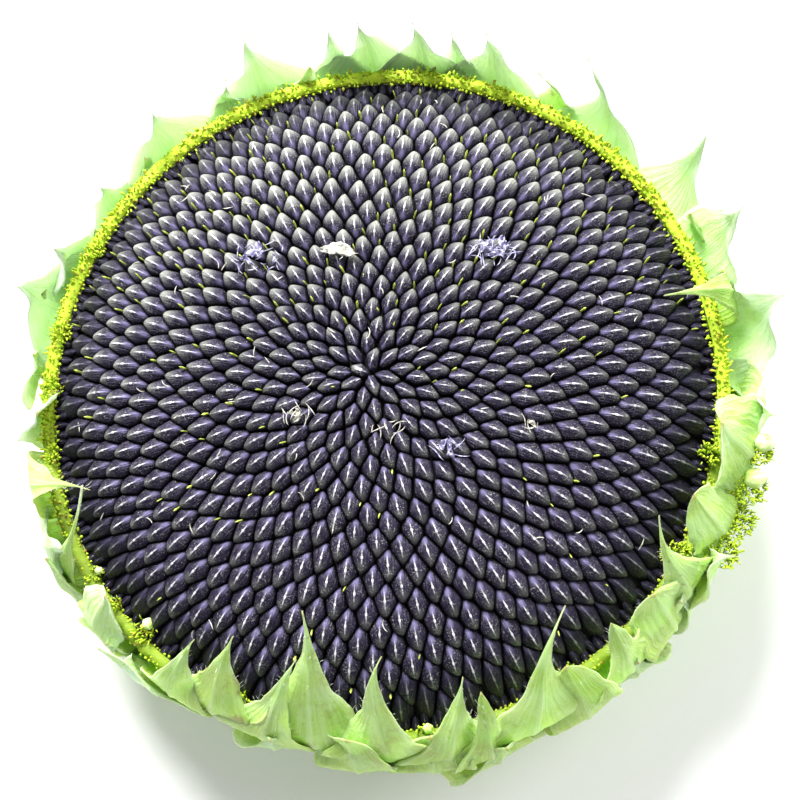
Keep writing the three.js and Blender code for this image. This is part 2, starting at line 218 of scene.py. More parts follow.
def closed_sheet(outer: np.ndarray, inner: np.ndarray) -> Solid:
    """Close two grids of points that lie back to back into one thin sheet.

    Args:
        outer: The points of one face.
        inner: The points of the other.

    Returns:
        Its points and faces.
    """
    rows, columns = outer.shape[:2]
    total = rows * columns
    front = grid_faces(rows, columns)
    grid = np.arange(total).reshape(rows, columns)
    border = np.concatenate([grid[0, :-1], grid[:-1, -1], grid[-1, :0:-1], grid[:0:-1, 0]])
    after = np.roll(border, -1)
    rim = np.stack([border, border + total, after + total, after], -1)
    points = np.concatenate([outer.reshape(-1, 3), inner.reshape(-1, 3)])
    return points, [front, front[:, ::-1] + total, rim]


@dataclass
class MeshDraft:
    """Points, faces and named layers in millimetres, gathered until they become one object.

    Attributes:
        points: Arrays of points.
        faces: Arrays of point numbers, each array with one corner count.
        layers: For each named layer, arrays with one number or vector for each point.
    """

    points: list[np.ndarray] = field(default_factory=list)
    faces: list[np.ndarray] = field(default_factory=list)
    layers: dict[str, list[np.ndarray]] = field(default_factory=dict)

    def add(self, points: np.ndarray, faces: list[np.ndarray], **layers: np.ndarray) -> None:
        """Add some points with their faces.

        Args:
            points: The points.
            faces: Their faces, numbered from 0.
            **layers: A value, or one for each point, for each layer.
        """
        start = sum(len(block) for block in self.points)
        self.points.append(points)
        self.faces.extend(block + start for block in faces)
        for name, value in layers.items():
            value = np.asarray(value, float)
            shape = (len(points), 3) if value.shape and value.shape[-1] == 3 else (len(points),)
            self.layers.setdefault(name, []).append(np.broadcast_to(value, shape))

    def make(self, name: str, material: bpy.types.Material) -> bpy.types.Object:
        """Turn the draft into an object.

        Args:
            name: The object's name.
            material: What it is made of.

        Returns:
            The new object.
        """
        mesh = bpy.data.meshes.new(name)
        points = np.concatenate(self.points) * MM
        corners = np.concatenate([block.ravel() for block in self.faces])
        counts = np.concatenate([np.full(len(block), block.shape[1]) for block in self.faces])
        mesh.vertices.add(len(points))
        mesh.vertices.foreach_set("co", points.astype(np.float32).ravel())
        mesh.loops.add(len(corners))
        mesh.loops.foreach_set("vertex_index", corners.astype(np.int32))
        mesh.polygons.add(len(counts))
        starts = np.concatenate([[0], np.cumsum(counts)[:-1]])
        mesh.polygons.foreach_set("loop_start", starts.astype(np.int32))
        mesh.update(calc_edges=True)
        mesh.shade_smooth()
        for layer, blocks in self.layers.items():
            values = np.concatenate(blocks).astype(np.float32)
            vector = values.ndim == 2
            attribute = mesh.attributes.new(layer, "FLOAT_VECTOR" if vector else "FLOAT", "POINT")
            attribute.data.foreach_set("vector" if vector else "value", values.ravel())
        mesh.materials.append(material)
        piece = bpy.data.objects.new(name, mesh)
        bpy.context.scene.collection.objects.link(piece)
        return piece


def declare(piece: bpy.types.Object, node: str) -> bpy.types.Object:
    """Say what a piece rides on and which solid it stands for, and hide that solid.

    Args:
        piece: The piece.
        node: The solid's name.

    Returns:
        The piece.
    """
    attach(piece, "root")
    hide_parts(node)
    log.info("%s: %d faces", piece.name, len(piece.data.polygons))
    return piece


# Shading


class Wiring:
    """Adds and joins nodes in one tree, so that a finish reads as a recipe."""

    def __init__(self, tree: bpy.types.NodeTree) -> None:
        """Keep the tree to add to."""
        self.tree = tree

    def node(self, kind: str, **settings: object) -> bpy.types.Node:
        """Add a node.

        Args:
            kind: Its type.
            **settings: Its settings by name.

        Returns:
            The new node.
        """
        made = self.tree.nodes.new(kind)
        for name, value in settings.items():
            setattr(made, name, value)
        return made

    def feed(self, target: Socket, value: Socket | float | Colour) -> None:
        """Join a socket to another, or set it.

        Args:
            target: The input.
            value: An output, a number or a colour.
        """
        if isinstance(value, bpy.types.NodeSocket):
            self.tree.links.new(value, target)
        elif isinstance(value, tuple):
            target.default_value = (*value, 1.0) if len(target.default_value) == 4 else value
        else:
            target.default_value = value

    def calculate(self, operation: str, *values: Socket | float) -> Socket:
        """Combine numbers.

        Args:
            operation: The Math node's operation.
            *values: Its inputs.

        Returns:
            The result.
        """
        made = self.node("ShaderNodeMath", operation=operation)
        for target, value in zip(made.inputs, values):
            self.feed(target, value)
        return made.outputs[0]

    def ramp(
        self,
        value: Socket,
        low: float | Socket,
        high: float | Socket,
        bottom: float | Socket = 0.0,
        top: float | Socket = 1.0,
    ) -> Socket:
        """Take a number smoothly from one range to another.

        Args:
            value: The number.
            low: Where the result is bottom.
            high: Where the result is top.
            bottom: The result at low.
            top: The result at high.

        Returns:
            The result, kept between bottom and top.
        """
        made = self.node("ShaderNodeMapRange", interpolation_type="SMOOTHSTEP")
        names = ("Value", "From Min", "From Max", "To Min", "To Max")
        for name, number in zip(names, (value, low, high, bottom, top)):
            self.feed(made.inputs[name], number)
        return made.outputs[0]

    def times(self, first: Socket, second: Socket | float) -> Socket:
        """Multiply two numbers."""
        return self.calculate("MULTIPLY", first, second)

    def blend(self, share: Socket | float, first: Socket | Colour, second: Socket | Colour) -> Socket:
        """Mix two colours.

        Args:
            share: How much of the second there is.
            first: The colour at 0.
            second: The colour at 1.

        Returns:
            The mixed colour.
        """
        made = self.node("ShaderNodeMix", data_type="RGBA")
        self.feed(made.inputs[0], share)
        self.feed(made.inputs[6], first)
        self.feed(made.inputs[7], second)
        return made.outputs[2]

    def layer(self, name: str) -> tuple[Socket, Socket, Socket]:
        """Read a mesh layer.

        Args:
            name: The layer's name.

        Returns:
            Its three numbers. A layer of single numbers gives them three times.
        """
        read = self.node("ShaderNodeAttribute", attribute_name=name)
        split = self.node("ShaderNodeSeparateXYZ")
        self.feed(split.inputs[0], read.outputs["Vector"])
        return split.outputs[0], split.outputs[1], split.outputs[2]

    def vector(self, x: Socket | float, y: Socket | float, z: Socket | float) -> Socket:
        """Join three numbers in a vector."""
        made = self.node("ShaderNodeCombineXYZ")
        for target, value in zip(made.inputs, (x, y, z)):
            self.feed(target, value)
        return made.outputs[0]

    def place(self) -> Socket:
        """Give the place on the object, in metres."""
        return self.node("ShaderNodeTexCoord").outputs["Object"]

    def effect(self, group: bpy.types.ShaderNodeTree, **values: Socket | float) -> bpy.types.Node:
        """Place a shared effect.

        Args:
            group: The effect's node group.
            **values: Its inputs, with spaces as underscores.

        Returns:
            The group node.
        """
        made = self.node("ShaderNodeGroup", node_tree=group)
        for name, value in values.items():
            self.feed(made.inputs[name.replace("_", " ")], value)
        return made


def new_group(name: str, inputs: dict[str, float | None], outputs: tuple[str, ...]) -> Started:
    """Start a shared effect as a node group.

    Args:
        name: The effect's name.
        inputs: Its inputs with their usual values. None stands for a vector.
        outputs: The names of the numbers that it gives.

    Returns:
        The group, its wiring, and its input and output nodes.
    """
    group = bpy.data.node_groups.new(name, "ShaderNodeTree")
    for label, value in inputs.items():
        kind = "NodeSocketVector" if value is None else "NodeSocketFloat"
        made = group.interface.new_socket(name=label, in_out="INPUT", socket_type=kind)
        if value is not None:
            made.default_value = value
    for label in outputs:
        group.interface.new_socket(name=label, in_out="OUTPUT", socket_type="NodeSocketFloat")
    wiring = Wiring(group)
    return group, wiring, wiring.node("NodeGroupInput"), wiring.node("NodeGroupOutput")


@dataclass
class SharedEffects:
    """The effects that several finishes use, each built once.

    Attributes:
        mottling: Soft blotches between two thresholds.
        streaks: Fine lines along a piece, from its own along and across numbers.
        grain: Fine relief.
    """

    mottling: bpy.types.ShaderNodeTree = field(init=False)
    streaks: bpy.types.ShaderNodeTree = field(init=False)
    grain: bpy.types.ShaderNodeTree = field(init=False)

    def __post_init__(self) -> None:
        """Build the three groups."""
        self.mottling = self.build_mottling()
        self.streaks = self.build_streaks()
        self.grain = self.build_grain()

    def build_mottling(self) -> bpy.types.ShaderNodeTree:
        """Build soft blotches.

        Returns:
            The group, which gives Mask.
        """
        group, wiring, given, result = new_group(
            "mottling", {"Place": None, "Scale": 100.0, "Low": 0.4, "High": 0.6}, ("Mask",)
        )
        noise = wiring.node("ShaderNodeTexNoise")
        wiring.feed(noise.inputs["Vector"], given.outputs["Place"])
        wiring.feed(noise.inputs["Scale"], given.outputs["Scale"])
        wiring.feed(noise.inputs["Detail"], 4.0)
        wiring.feed(noise.inputs["Roughness"], 0.6)
        mask = wiring.ramp(noise.outputs[0], given.outputs["Low"], given.outputs["High"])
        wiring.feed(result.inputs["Mask"], mask)
        return group

    def build_streaks(self) -> bpy.types.ShaderNodeTree:
        """Build fine lines that run along a piece.

        Returns:
            The group, which gives Mask.
        """
        inputs = {"Along": 0.0, "Across": 0.0, "Chance": 0.0, "Length": 1.0, "Fineness": 8.0}
        group, wiring, given, result = new_group("streaks", inputs, ("Mask",))
        x = wiring.times(given.outputs["Along"], given.outputs["Length"])
        y = wiring.times(given.outputs["Across"], given.outputs["Fineness"])
        z = wiring.times(given.outputs["Chance"], 37.0)
        noise = wiring.node("ShaderNodeTexNoise")
        wiring.feed(noise.inputs["Vector"], wiring.vector(x, y, z))
        wiring.feed(noise.inputs["Scale"], 1.0)
        wiring.feed(noise.inputs["Detail"], 3.0)
        wiring.feed(result.inputs["Mask"], wiring.ramp(noise.outputs[0], 0.35, 0.68))
        return group

    def build_grain(self) -> bpy.types.ShaderNodeTree:
        """Build fine relief.

        Returns:
            The group, which gives Height.
        """
        group, wiring, given, result = new_group("grain", {"Place": None, "Scale": 900.0}, ("Height",))
        noise = wiring.node("ShaderNodeTexNoise")
        wiring.feed(noise.inputs["Vector"], given.outputs["Place"])
        wiring.feed(noise.inputs["Scale"], given.outputs["Scale"])
        wiring.feed(noise.inputs["Detail"], 5.0)
        wiring.feed(result.inputs["Height"], noise.outputs[0])
        return group


def start_material(name: str) -> tuple[bpy.types.Material, Wiring, bpy.types.Node]:
    """Start a material.

    Args:
        name: Its name.

    Returns:
        The material, its wiring and its Principled shader.
    """
    material = bpy.data.materials.new(name)
    material.use_nodes = True
    wiring = Wiring(material.node_tree)
    return material, wiring, material.node_tree.nodes["Principled BSDF"]


def add_relief(wiring: Wiring, shader: bpy.types.Node, height: Socket, depth: float) -> None:
    """Let fine relief tilt a shader's normal.

    Args:
        wiring: The material's wiring.
        shader: The shader.
        height: The relief, from 0 to 1.
        depth: How deep it is, in metres.
    """
    bump = wiring.node("ShaderNodeBump")
    wiring.feed(bump.inputs["Height"], height)
    bump.inputs["Distance"].default_value = depth
    wiring.feed(shader.inputs["Normal"], bump.outputs["Normal"])


@dataclass(frozen=True)
class SeedFinish:
    """Near-black hulls with a purple cast and fine specks, a thin white ridge line that is partly a pale
    mark and partly painted highlight, a painted lilac sheen on the inner ends, paler outer ends, and painted
    shade at the edges and towards the rim.
    """

    hull: Colour = (0.0066, 0.0043, 0.0160)
    flank: Colour = (0.023, 0.0165, 0.041)
    speck: Colour = (0.300, 0.300, 0.265)
    # inner_end_sheen: a painted lilac sheen on the seeds' inner ends.
    inner_end_sheen: Colour = (0.150, 0.135, 0.262)
    outer_end: Colour = (0.390, 0.405, 0.345)
    # ridge: partly the hull's own pale ridge mark, partly painted highlight.
    ridge: Colour = (0.74, 0.73, 0.77)
    # gap: painted shade where the seeds meet.
    painted_gap_shade: Colour = (0.003, 0.0025, 0.003)

    def build(self, effects: SharedEffects) -> bpy.types.Material:
        """Build the material.

        Args:
            effects: The shared effects.

        Returns:
            The material. It reads the layers seed_place, along, across and edge, chance, and two masks:
            painted shade towards the rim, and dust with painted light on the lit side.
        """
        material, wiring, shader = start_material("seed_hull")
        along, across, edge = wiring.layer("seed_place")
        chance = wiring.layer("chance")[0]
        unripe = wiring.layer("unripe")[0]
        dusted = wiring.layer("dusted")[0]
        place = wiring.place()
        aside = wiring.calculate("ABSOLUTE", across)
        streaks = wiring.effect(
            effects.streaks, Along=along, Across=across, Chance=chance, Length=1.1, Fineness=9.0
        )
        colour = wiring.blend(wiring.times(streaks.outputs["Mask"], 0.8), self.hull, self.flank)
        specks = wiring.effect(effects.mottling, Place=place, Scale=2500.0, Low=0.545, High=0.65)
        cloud = wiring.effect(effects.mottling, Place=place, Scale=210.0, Low=0.3, High=0.7)
        dusty = wiring.ramp(cloud.outputs["Mask"], 0.0, 1.0, 0.25, 0.9)
        colour = wiring.blend(wiring.times(specks.outputs["Mask"], dusty), colour, self.speck)
        # Painted sheen: the inner end of each seed turns lilac.
        inner = wiring.times(wiring.ramp(along, -0.2, -0.62), wiring.ramp(aside, 0.42, 0.08))
        colour = wiring.blend(wiring.times(inner, 0.8), colour, self.inner_end_sheen)
        # The pale outer ends spread wider and fuller towards +y, the side of the key light: partly dust and
        # wear, partly painted light.
        start = wiring.ramp(dusted, 0.0, 1.0, 0.05, -0.35)
        breadth = wiring.ramp(dusted, 0.0, 1.0, 0.70, 1.30)
        outer = wiring.times(wiring.ramp(along, start, 0.75), wiring.ramp(aside, breadth, 0.08))
        worn_and_lit = wiring.ramp(specks.outputs["Mask"], 0.0, 1.0, wiring.ramp(dusted, 0.0, 1.0, 0.22, 0.88), 1.0)
        colour = wiring.blend(wiring.times(outer, worn_and_lit), colour, self.outer_end)
        # The ridge line: partly a pale mark of the hull, partly painted highlight.
        colour = wiring.blend(self.ridge_mark_and_highlight(wiring, effects, along, across, chance), colour, self.ridge)
        # Painted shade: the seeds darken towards the rim.
        colour = wiring.blend(wiring.times(unripe, 0.72), colour, self.hull)
        # Painted shade: each seed darkens to near black towards its edges, where it meets its neighbours.
        colour = wiring.blend(wiring.ramp(edge, 0.80, 1.02, 0.0, 0.9), colour, self.painted_gap_shade)
        wiring.feed(shader.inputs["Base Color"], colour)
        wiring.feed(shader.inputs["Roughness"], wiring.ramp(specks.outputs["Mask"], 0.0, 1.0, 0.42, 0.68))
        shader.inputs["Specular IOR Level"].default_value = 0.35
        shader.inputs["Specular Tint"].default_value = (0.84, 0.80, 1.0, 1.0)
        relief = wiring.calculate("ADD", streaks.outputs["Mask"], specks.outputs["Mask"])
        add_relief(wiring, shader, relief, 0.00015)
        return material

    def ridge_mark_and_highlight(
        self, wiring: Wiring, effects: SharedEffects, along: Socket, across: Socket, chance: Socket
    ) -> Socket:
        """Draw the pale line on the ridge, its brighter middle and the faint rays that some seeds have:
        partly a pale mark of the hull, partly painted highlight.

        Args:
            wiring: The material's wiring.
            effects: The shared effects.
            along: The place along the seed.
            across: The place across it.
            chance: The seed's own number.

        Returns:
            The mask of the whole mark.
        """
        aside = wiring.calculate("ABSOLUTE", across)
        from_peak = wiring.calculate("ABSOLUTE", along)
        reach = wiring.ramp(chance, 0.0, 1.0, 0.5, 0.8)
        line = wiring.times(wiring.ramp(aside, 0.08, 0.022), wiring.ramp(from_peak, reach, 0.15))
        broken = wiring.effect(effects.mottling, Place=wiring.place(), Scale=1500.0, Low=0.32, High=0.6)
        line = wiring.times(line, wiring.ramp(broken.outputs["Mask"], 0.0, 1.0, 0.25, 0.9))
        dot = wiring.times(wiring.ramp(aside, 0.13, 0.05), wiring.ramp(from_peak, 0.13, 0.04))
        around_peak = wiring.calculate("ARCTAN2", along, across)
        spread = wiring.effect(
            effects.streaks, Along=around_peak, Across=0.0, Chance=chance, Length=6.0, Fineness=1.0
        )
        near = wiring.ramp(wiring.calculate("ADD", from_peak, aside), 0.70, 0.15)
        rays = wiring.times(wiring.ramp(spread.outputs["Mask"], 0.75, 1.0), near)
        rays = wiring.times(rays, wiring.ramp(chance, 0.55, 0.85, 0.0, 0.4))
        return wiring.calculate("MAXIMUM", wiring.calculate("MAXIMUM", line, dot), rays)


@dataclass(frozen=True)
class BractFinish:
    """Leafy green, yellower towards the base, paler to whitish in patches on the side of the key light as
    painted light, with veins, specks and brown stains.
    """

    leaf: Colour = (0.42, 0.66, 0.105)
    fresh: Colour = (0.31, 0.56, 0.05)
    # pale and white paint light on the bracts of the lit side; pale also lightens their inner faces.
    pale: Colour = (0.45, 0.73, 0.27)
    white: Colour = (0.56, 0.80, 0.55)
    foot: Colour = (0.48, 0.72, 0.02)
    vein: Colour = (0.58, 0.79, 0.38)
    stain: Colour = (0.24, 0.15, 0.045)

    def build(self, effects: SharedEffects) -> bpy.types.Material:
        """Build the material.

        Args:
            effects: The shared effects.

        Returns:
            The material. It reads the layers blade, along, across and chance, and tint: paleness, which is
            mostly painted light, stain and inner side.
        """
        material, wiring, shader = start_material("bract_leaf")
        along, across, chance = wiring.layer("blade")
        lit_paleness, stained, inner_side = wiring.layer("tint")
        place = wiring.place()
        patches = wiring.effect(effects.mottling, Place=place, Scale=110.0, Low=0.36, High=0.66)
        colour = wiring.blend(patches.outputs["Mask"], self.leaf, self.fresh)
        cloudy = wiring.effect(effects.mottling, Place=place, Scale=190.0, Low=0.3, High=0.72)
        # Painted light: the bracts on the side of the key light turn pale and whitish, unevenly.
        uneven = wiring.ramp(cloudy.outputs["Mask"], 0.0, 1.0, -0.18, 0.18)
        lit_pallor = wiring.calculate("ADD", lit_paleness, uneven)
        colour = wiring.blend(wiring.ramp(lit_pallor, -0.1, 0.75), colour, self.pale)
        colour = wiring.blend(wiring.ramp(lit_pallor, 0.45, 0.95), colour, self.white)
        green = wiring.ramp(lit_paleness, 0.35, 1.0, 1.0, 0.12)
        colour = wiring.blend(wiring.times(inner_side, 0.35), colour, self.pale)
        reach = wiring.ramp(cloudy.outputs["Mask"], 0.0, 1.0, 0.50, 0.60)
        base = wiring.times(wiring.ramp(along, reach, 0.42), wiring.ramp(inner_side, 0.0, 1.0, 0.15, 0.55))
        colour = wiring.blend(wiring.times(base, green), colour, self.foot)
        strands = wiring.effect(
            effects.streaks, Along=along, Across=across, Chance=chance, Length=1.6, Fineness=10.0
        )
        colour = wiring.blend(wiring.times(strands.outputs["Mask"], 0.36), colour, self.vein)
        rib = wiring.ramp(wiring.calculate("ABSOLUTE", across), 0.09, 0.02)
        colour = wiring.blend(wiring.times(rib, 0.35), colour, self.vein)
        freckles = wiring.effect(effects.mottling, Place=place, Scale=800.0, Low=0.62, High=0.7)
        freckled = wiring.times(freckles.outputs["Mask"], wiring.ramp(stained, 0.0, 1.0, 0.15, 0.75))
        blots = wiring.effect(effects.mottling, Place=place, Scale=230.0, Low=0.5, High=0.64)
        lines = wiring.effect(
            effects.streaks, Along=along, Across=across, Chance=stained, Length=5.0, Fineness=2.6
        )
        marks = wiring.times(blots.outputs["Mask"], wiring.ramp(lines.outputs["Mask"], 0.3, 0.85))
        marks = wiring.times(marks, wiring.ramp(stained, 0.15, 1.0))
        marks = wiring.calculate("MAXIMUM", marks, freckled)
        dead = wiring.calculate("MAXIMUM", marks, wiring.ramp(along, 0.965, 1.0))
        colour = wiring.blend(wiring.times(dead, 0.75), colour, self.stain)
        wiring.feed(shader.inputs["Base Color"], colour)
        wiring.feed(shader.inputs["Roughness"], wiring.ramp(strands.outputs["Mask"], 0.0, 1.0, 0.45, 0.62))
        shader.inputs["Specular IOR Level"].default_value = 0.4
        shader.inputs["Subsurface Weight"].default_value = 0.5
        shader.inputs["Subsurface Radius"].default_value = (0.0030, 0.0032, 0.0026)
        shader.inputs["Subsurface Scale"].default_value = 1.0
        grain = wiring.effect(effects.grain, Place=place, Scale=1400.0)
        height = wiring.calculate("ADD", grain.outputs["Height"], strands.outputs["Mask"])
        height = wiring.calculate("ADD", height, wiring.times(cloudy.outputs["Mask"], 0.8))
        add_relief(wiring, shader, height, 0.00016)
        return material


@dataclass(frozen=True)
class FloretFinish:
    """Yellow-green shrivelled florets, darker towards their crowded feet as painted shade, with brown tips.
    """

    name: str = "rim_floret"
    body: Colour = (0.33, 0.52, 0.010)
    bright: Colour = (0.58, 0.74, 0.030)
    foot: Colour = (0.19, 0.29, 0.008)
    tip: Colour = (0.30, 0.19, 0.03)

    def build(self, effects: SharedEffects) -> bpy.types.Material:
        """Build the material.

        Args:
            effects: The shared effects.

        Returns:
            The material. It reads the layer floret: along, chance and tip.
        """
        material, wiring, shader = start_material(self.name)
        along, chance, browned = wiring.layer("floret")
        mottle = wiring.effect(effects.mottling, Place=wiring.place(), Scale=500.0, Low=0.35, High=0.65)
        lit = wiring.times(wiring.calculate("ADD", chance, mottle.outputs["Mask"]), 0.5)
        colour = wiring.blend(lit, self.body, self.bright)
        # Painted shade: the florets darken towards their crowded feet.
        colour = wiring.blend(wiring.ramp(along, 0.6, 0.05), colour, self.foot)
        ends = wiring.times(wiring.ramp(along, 0.45, 0.9), browned)
        colour = wiring.blend(ends, colour, self.tip)
        wiring.feed(shader.inputs["Base Color"], colour)
        shader.inputs["Roughness"].default_value = 0.72
        grain = wiring.effect(effects.grain, Place=wiring.place(), Scale=2200.0)
        add_relief(wiring, shader, grain.outputs["Height"], 0.00015)
        return material


@dataclass(frozen=True)
class BackFinish:
    """The receptacle's fleshy back and stub: pale green with whitish ribs and a few brown scuffs."""

    flesh: Colour = (0.33, 0.47, 0.12)
    light: Colour = (0.60, 0.70, 0.32)
    scuff: Colour = (0.24, 0.17, 0.06)

    def build(self, effects: SharedEffects) -> bpy.types.Material:
        """Build the material.

        Args:
            effects: The shared effects.

        Returns:
            The material. It reads the layer back: rib, wear and azimuth.
        """
        material, wiring, shader = start_material("receptacle_back")
        rib, wear, turn = wiring.layer("back")
        place = wiring.place()
        mottle = wiring.effect(effects.mottling, Place=place, Scale=120.0, Low=0.35, High=0.7)
        strands = wiring.effect(
            effects.streaks, Along=wear, Across=turn, Chance=0.3, Length=4.0, Fineness=26.0
        )
        share = wiring.calculate("ADD", wiring.times(rib, 0.45), wiring.times(mottle.outputs["Mask"], 0.3))
        share = wiring.calculate("ADD", share, wiring.times(strands.outputs["Mask"], 0.2))
        colour = wiring.blend(share, self.flesh, self.light)
        scuffs = wiring.effect(effects.mottling, Place=place, Scale=70.0, Low=0.6, High=0.72)
        colour = wiring.blend(wiring.times(scuffs.outputs["Mask"], 0.6), colour, self.scuff)
        wiring.feed(shader.inputs["Base Color"], colour)
        shader.inputs["Roughness"].default_value = 0.62
        grain = wiring.effect(effects.grain, Place=place, Scale=1100.0)
        height = wiring.calculate("ADD", grain.outputs["Height"], strands.outputs["Mask"])
        add_relief(wiring, shader, height, 0.00025)
        return material


@dataclass(frozen=True)
class PlainFinish:
    """A dry finish between two colours, for pith, chaff, buds, hairs, dried bits and the seeds' near-black
    bed, which is painted shade.
    """

    name: str
    first: Colour
    second: Colour
    scale: float = 600.0
    roughness: float = 0.8
    relief: float = 0.0002

    def build(self, effects: SharedEffects) -> bpy.types.Material:
        """Build the material.

        Args:
            effects: The shared effects.

        Returns:
            The material.
        """
        material, wiring, shader = start_material(self.name)
        mottle = wiring.effect(effects.mottling, Place=wiring.place(), Scale=self.scale, Low=0.35, High=0.65)
        colour = wiring.blend(mottle.outputs["Mask"], self.first, self.second)
        wiring.feed(shader.inputs["Base Color"], colour)
        shader.inputs["Roughness"].default_value = self.roughness
        grain = wiring.effect(effects.grain, Place=wiring.place(), Scale=self.scale * 2.5)
        add_relief(wiring, shader, grain.outputs["Height"], self.relief)
        return material


@dataclass(frozen=True)
class Finishes:
    """Every material of the head, built once.

    Attributes:
        effects: The effects that they share.
    """

    effects: SharedEffects = field(default_factory=SharedEffects)

    def __post_init__(self) -> None:
        """Build the materials."""
        recipes = {
            "seed": SeedFinish(),
            "bract": BractFinish(),
            "floret": FloretFinish(),
            "back": BackFinish(),
            # The seeds' bed is near black: painted shade between the seeds.
            "bed": PlainFinish("seed_bed_shade", (0.006, 0.005, 0.005), (0.02, 0.016, 0.012)),
            "bud": PlainFinish("bud", (0.50, 0.72, 0.14), (0.76, 0.88, 0.46), 320.0, 0.55),
            "chaff": PlainFinish("chaff_tip", (0.22, 0.30, 0.03), (0.52, 0.58, 0.10), 900.0, 0.65),
            "dried": PlainFinish("dried_floret", (0.30, 0.28, 0.22), (0.66, 0.65, 0.58), 1100.0),
            "lilac": PlainFinish("lilac_floret", (0.13, 0.11, 0.27), (0.55, 0.55, 0.66), 1000.0),
            "hair": PlainFinish("hair", (0.75, 0.80, 0.62), (0.88, 0.90, 0.80), 600.0, 0.5, 0.00002),
            "pith": PlainFinish("pith", (0.66, 0.66, 0.50), (0.86, 0.86, 0.74), 420.0, 0.9),
        }
        made = {name: recipe.build(self.effects) for name, recipe in recipes.items()}
        object.__setattr__(self, "made", made)

    def __getitem__(self, name: str) -> bpy.types.Material:
        """Give a material by its short name."""
        return self.made[name]


# The shape of the head, in millimetres


@dataclass(frozen=True)
class HeadForm:
    """The sizes that all sub-assemblies share.

    Attributes:
        seed_count: How many seeds the disc has.
        field_radius: The radius that the seeds fill.
        field_edge: Where the outermost seeds end.
        first_angle: The azimuth of the innermost seed.
        stretch: How much longer than wide a seed is.
        crowding: The factors of the law by which the seeds' radii grow.
        spare_gap: How far past the seeds the unseen places start that bound the outermost ones.
        spare_per_mm: How many such places there are for each millimetre.
        dome_top: The height of the middle of the disc.
        dome_fall: How far the dome falls to its rim.
        edge_fall: How much more it falls at the very edge.
        lip_height: The height of the receptacle's lip.
        flank: The receptacle's flank as radius and height.
    """

    seed_count: int = 780
    field_radius: float = 74.6
    field_edge: float = 76.8
    first_angle: float = math.radians(156)
    stretch: float = 1.3
    crowding: tuple[float, float, float] = (0.66, 0.84, -0.5)
    spare_gap: float = 5.0
    spare_per_mm: float = 30.0
    dome_top: float = 50.0
    dome_fall: float = 7.5
    edge_fall: float = 7.5
    lip_height: float = 32.5
    flank: tuple[tuple[float, float], ...] = ((60, 13.8), (70, 17.8), (77, 26.5), (79.5, 32.5))

    def top(self, radius: np.ndarray) -> np.ndarray:
        """Give the height of the seeds' tops at a radius."""
        share = np.asarray(radius) / self.field_radius
        return self.dome_top - self.dome_fall * share**2 - self.edge_fall * share**8

    def tilt(self, radius: np.ndarray) -> np.ndarray:
        """Give the angle by which the dome leans outwards at a radius."""
        share = np.asarray(radius) / self.field_radius
        fall = (2 * self.dome_fall * share + 8 * self.edge_fall * share**7) / self.field_radius
        return np.arctan(fall)

    def squeeze(self, radius: np.ndarray) -> np.ndarray:
        """Take a radius to the plane in which the seeds' grounds are as long as wide."""
        return self.field_radius * (np.asarray(radius) / self.field_radius) ** (1 / self.stretch)

    def unsqueeze(self, radius: np.ndarray) -> np.ndarray:
        """Take a radius back from that plane."""
        return self.field_radius * (np.asarray(radius) / self.field_radius) ** self.stretch

    def seed_places(self, spare: int = 0) -> tuple[np.ndarray, np.ndarray]:
        """Place the seeds on their spirals.

        Args:
            spare: How many more to place past the rim, where nothing grows.

        Returns:
            Their radii and azimuths.
        """
        number = np.arange(self.seed_count + spare)
        share = (np.minimum(number, self.seed_count - 1) + 0.5) / self.seed_count
        first, second, third = self.crowding
        radius = self.field_radius * np.sqrt(first * share + second * share**2 + third * share**3)
        past = number - self.seed_count
        spare_radius = self.field_radius + self.spare_gap + past / self.spare_per_mm
        radius = np.where(past < 0, radius, spare_radius)
        return radius, self.first_angle + number * GOLDEN_ANGLE


# Seeds


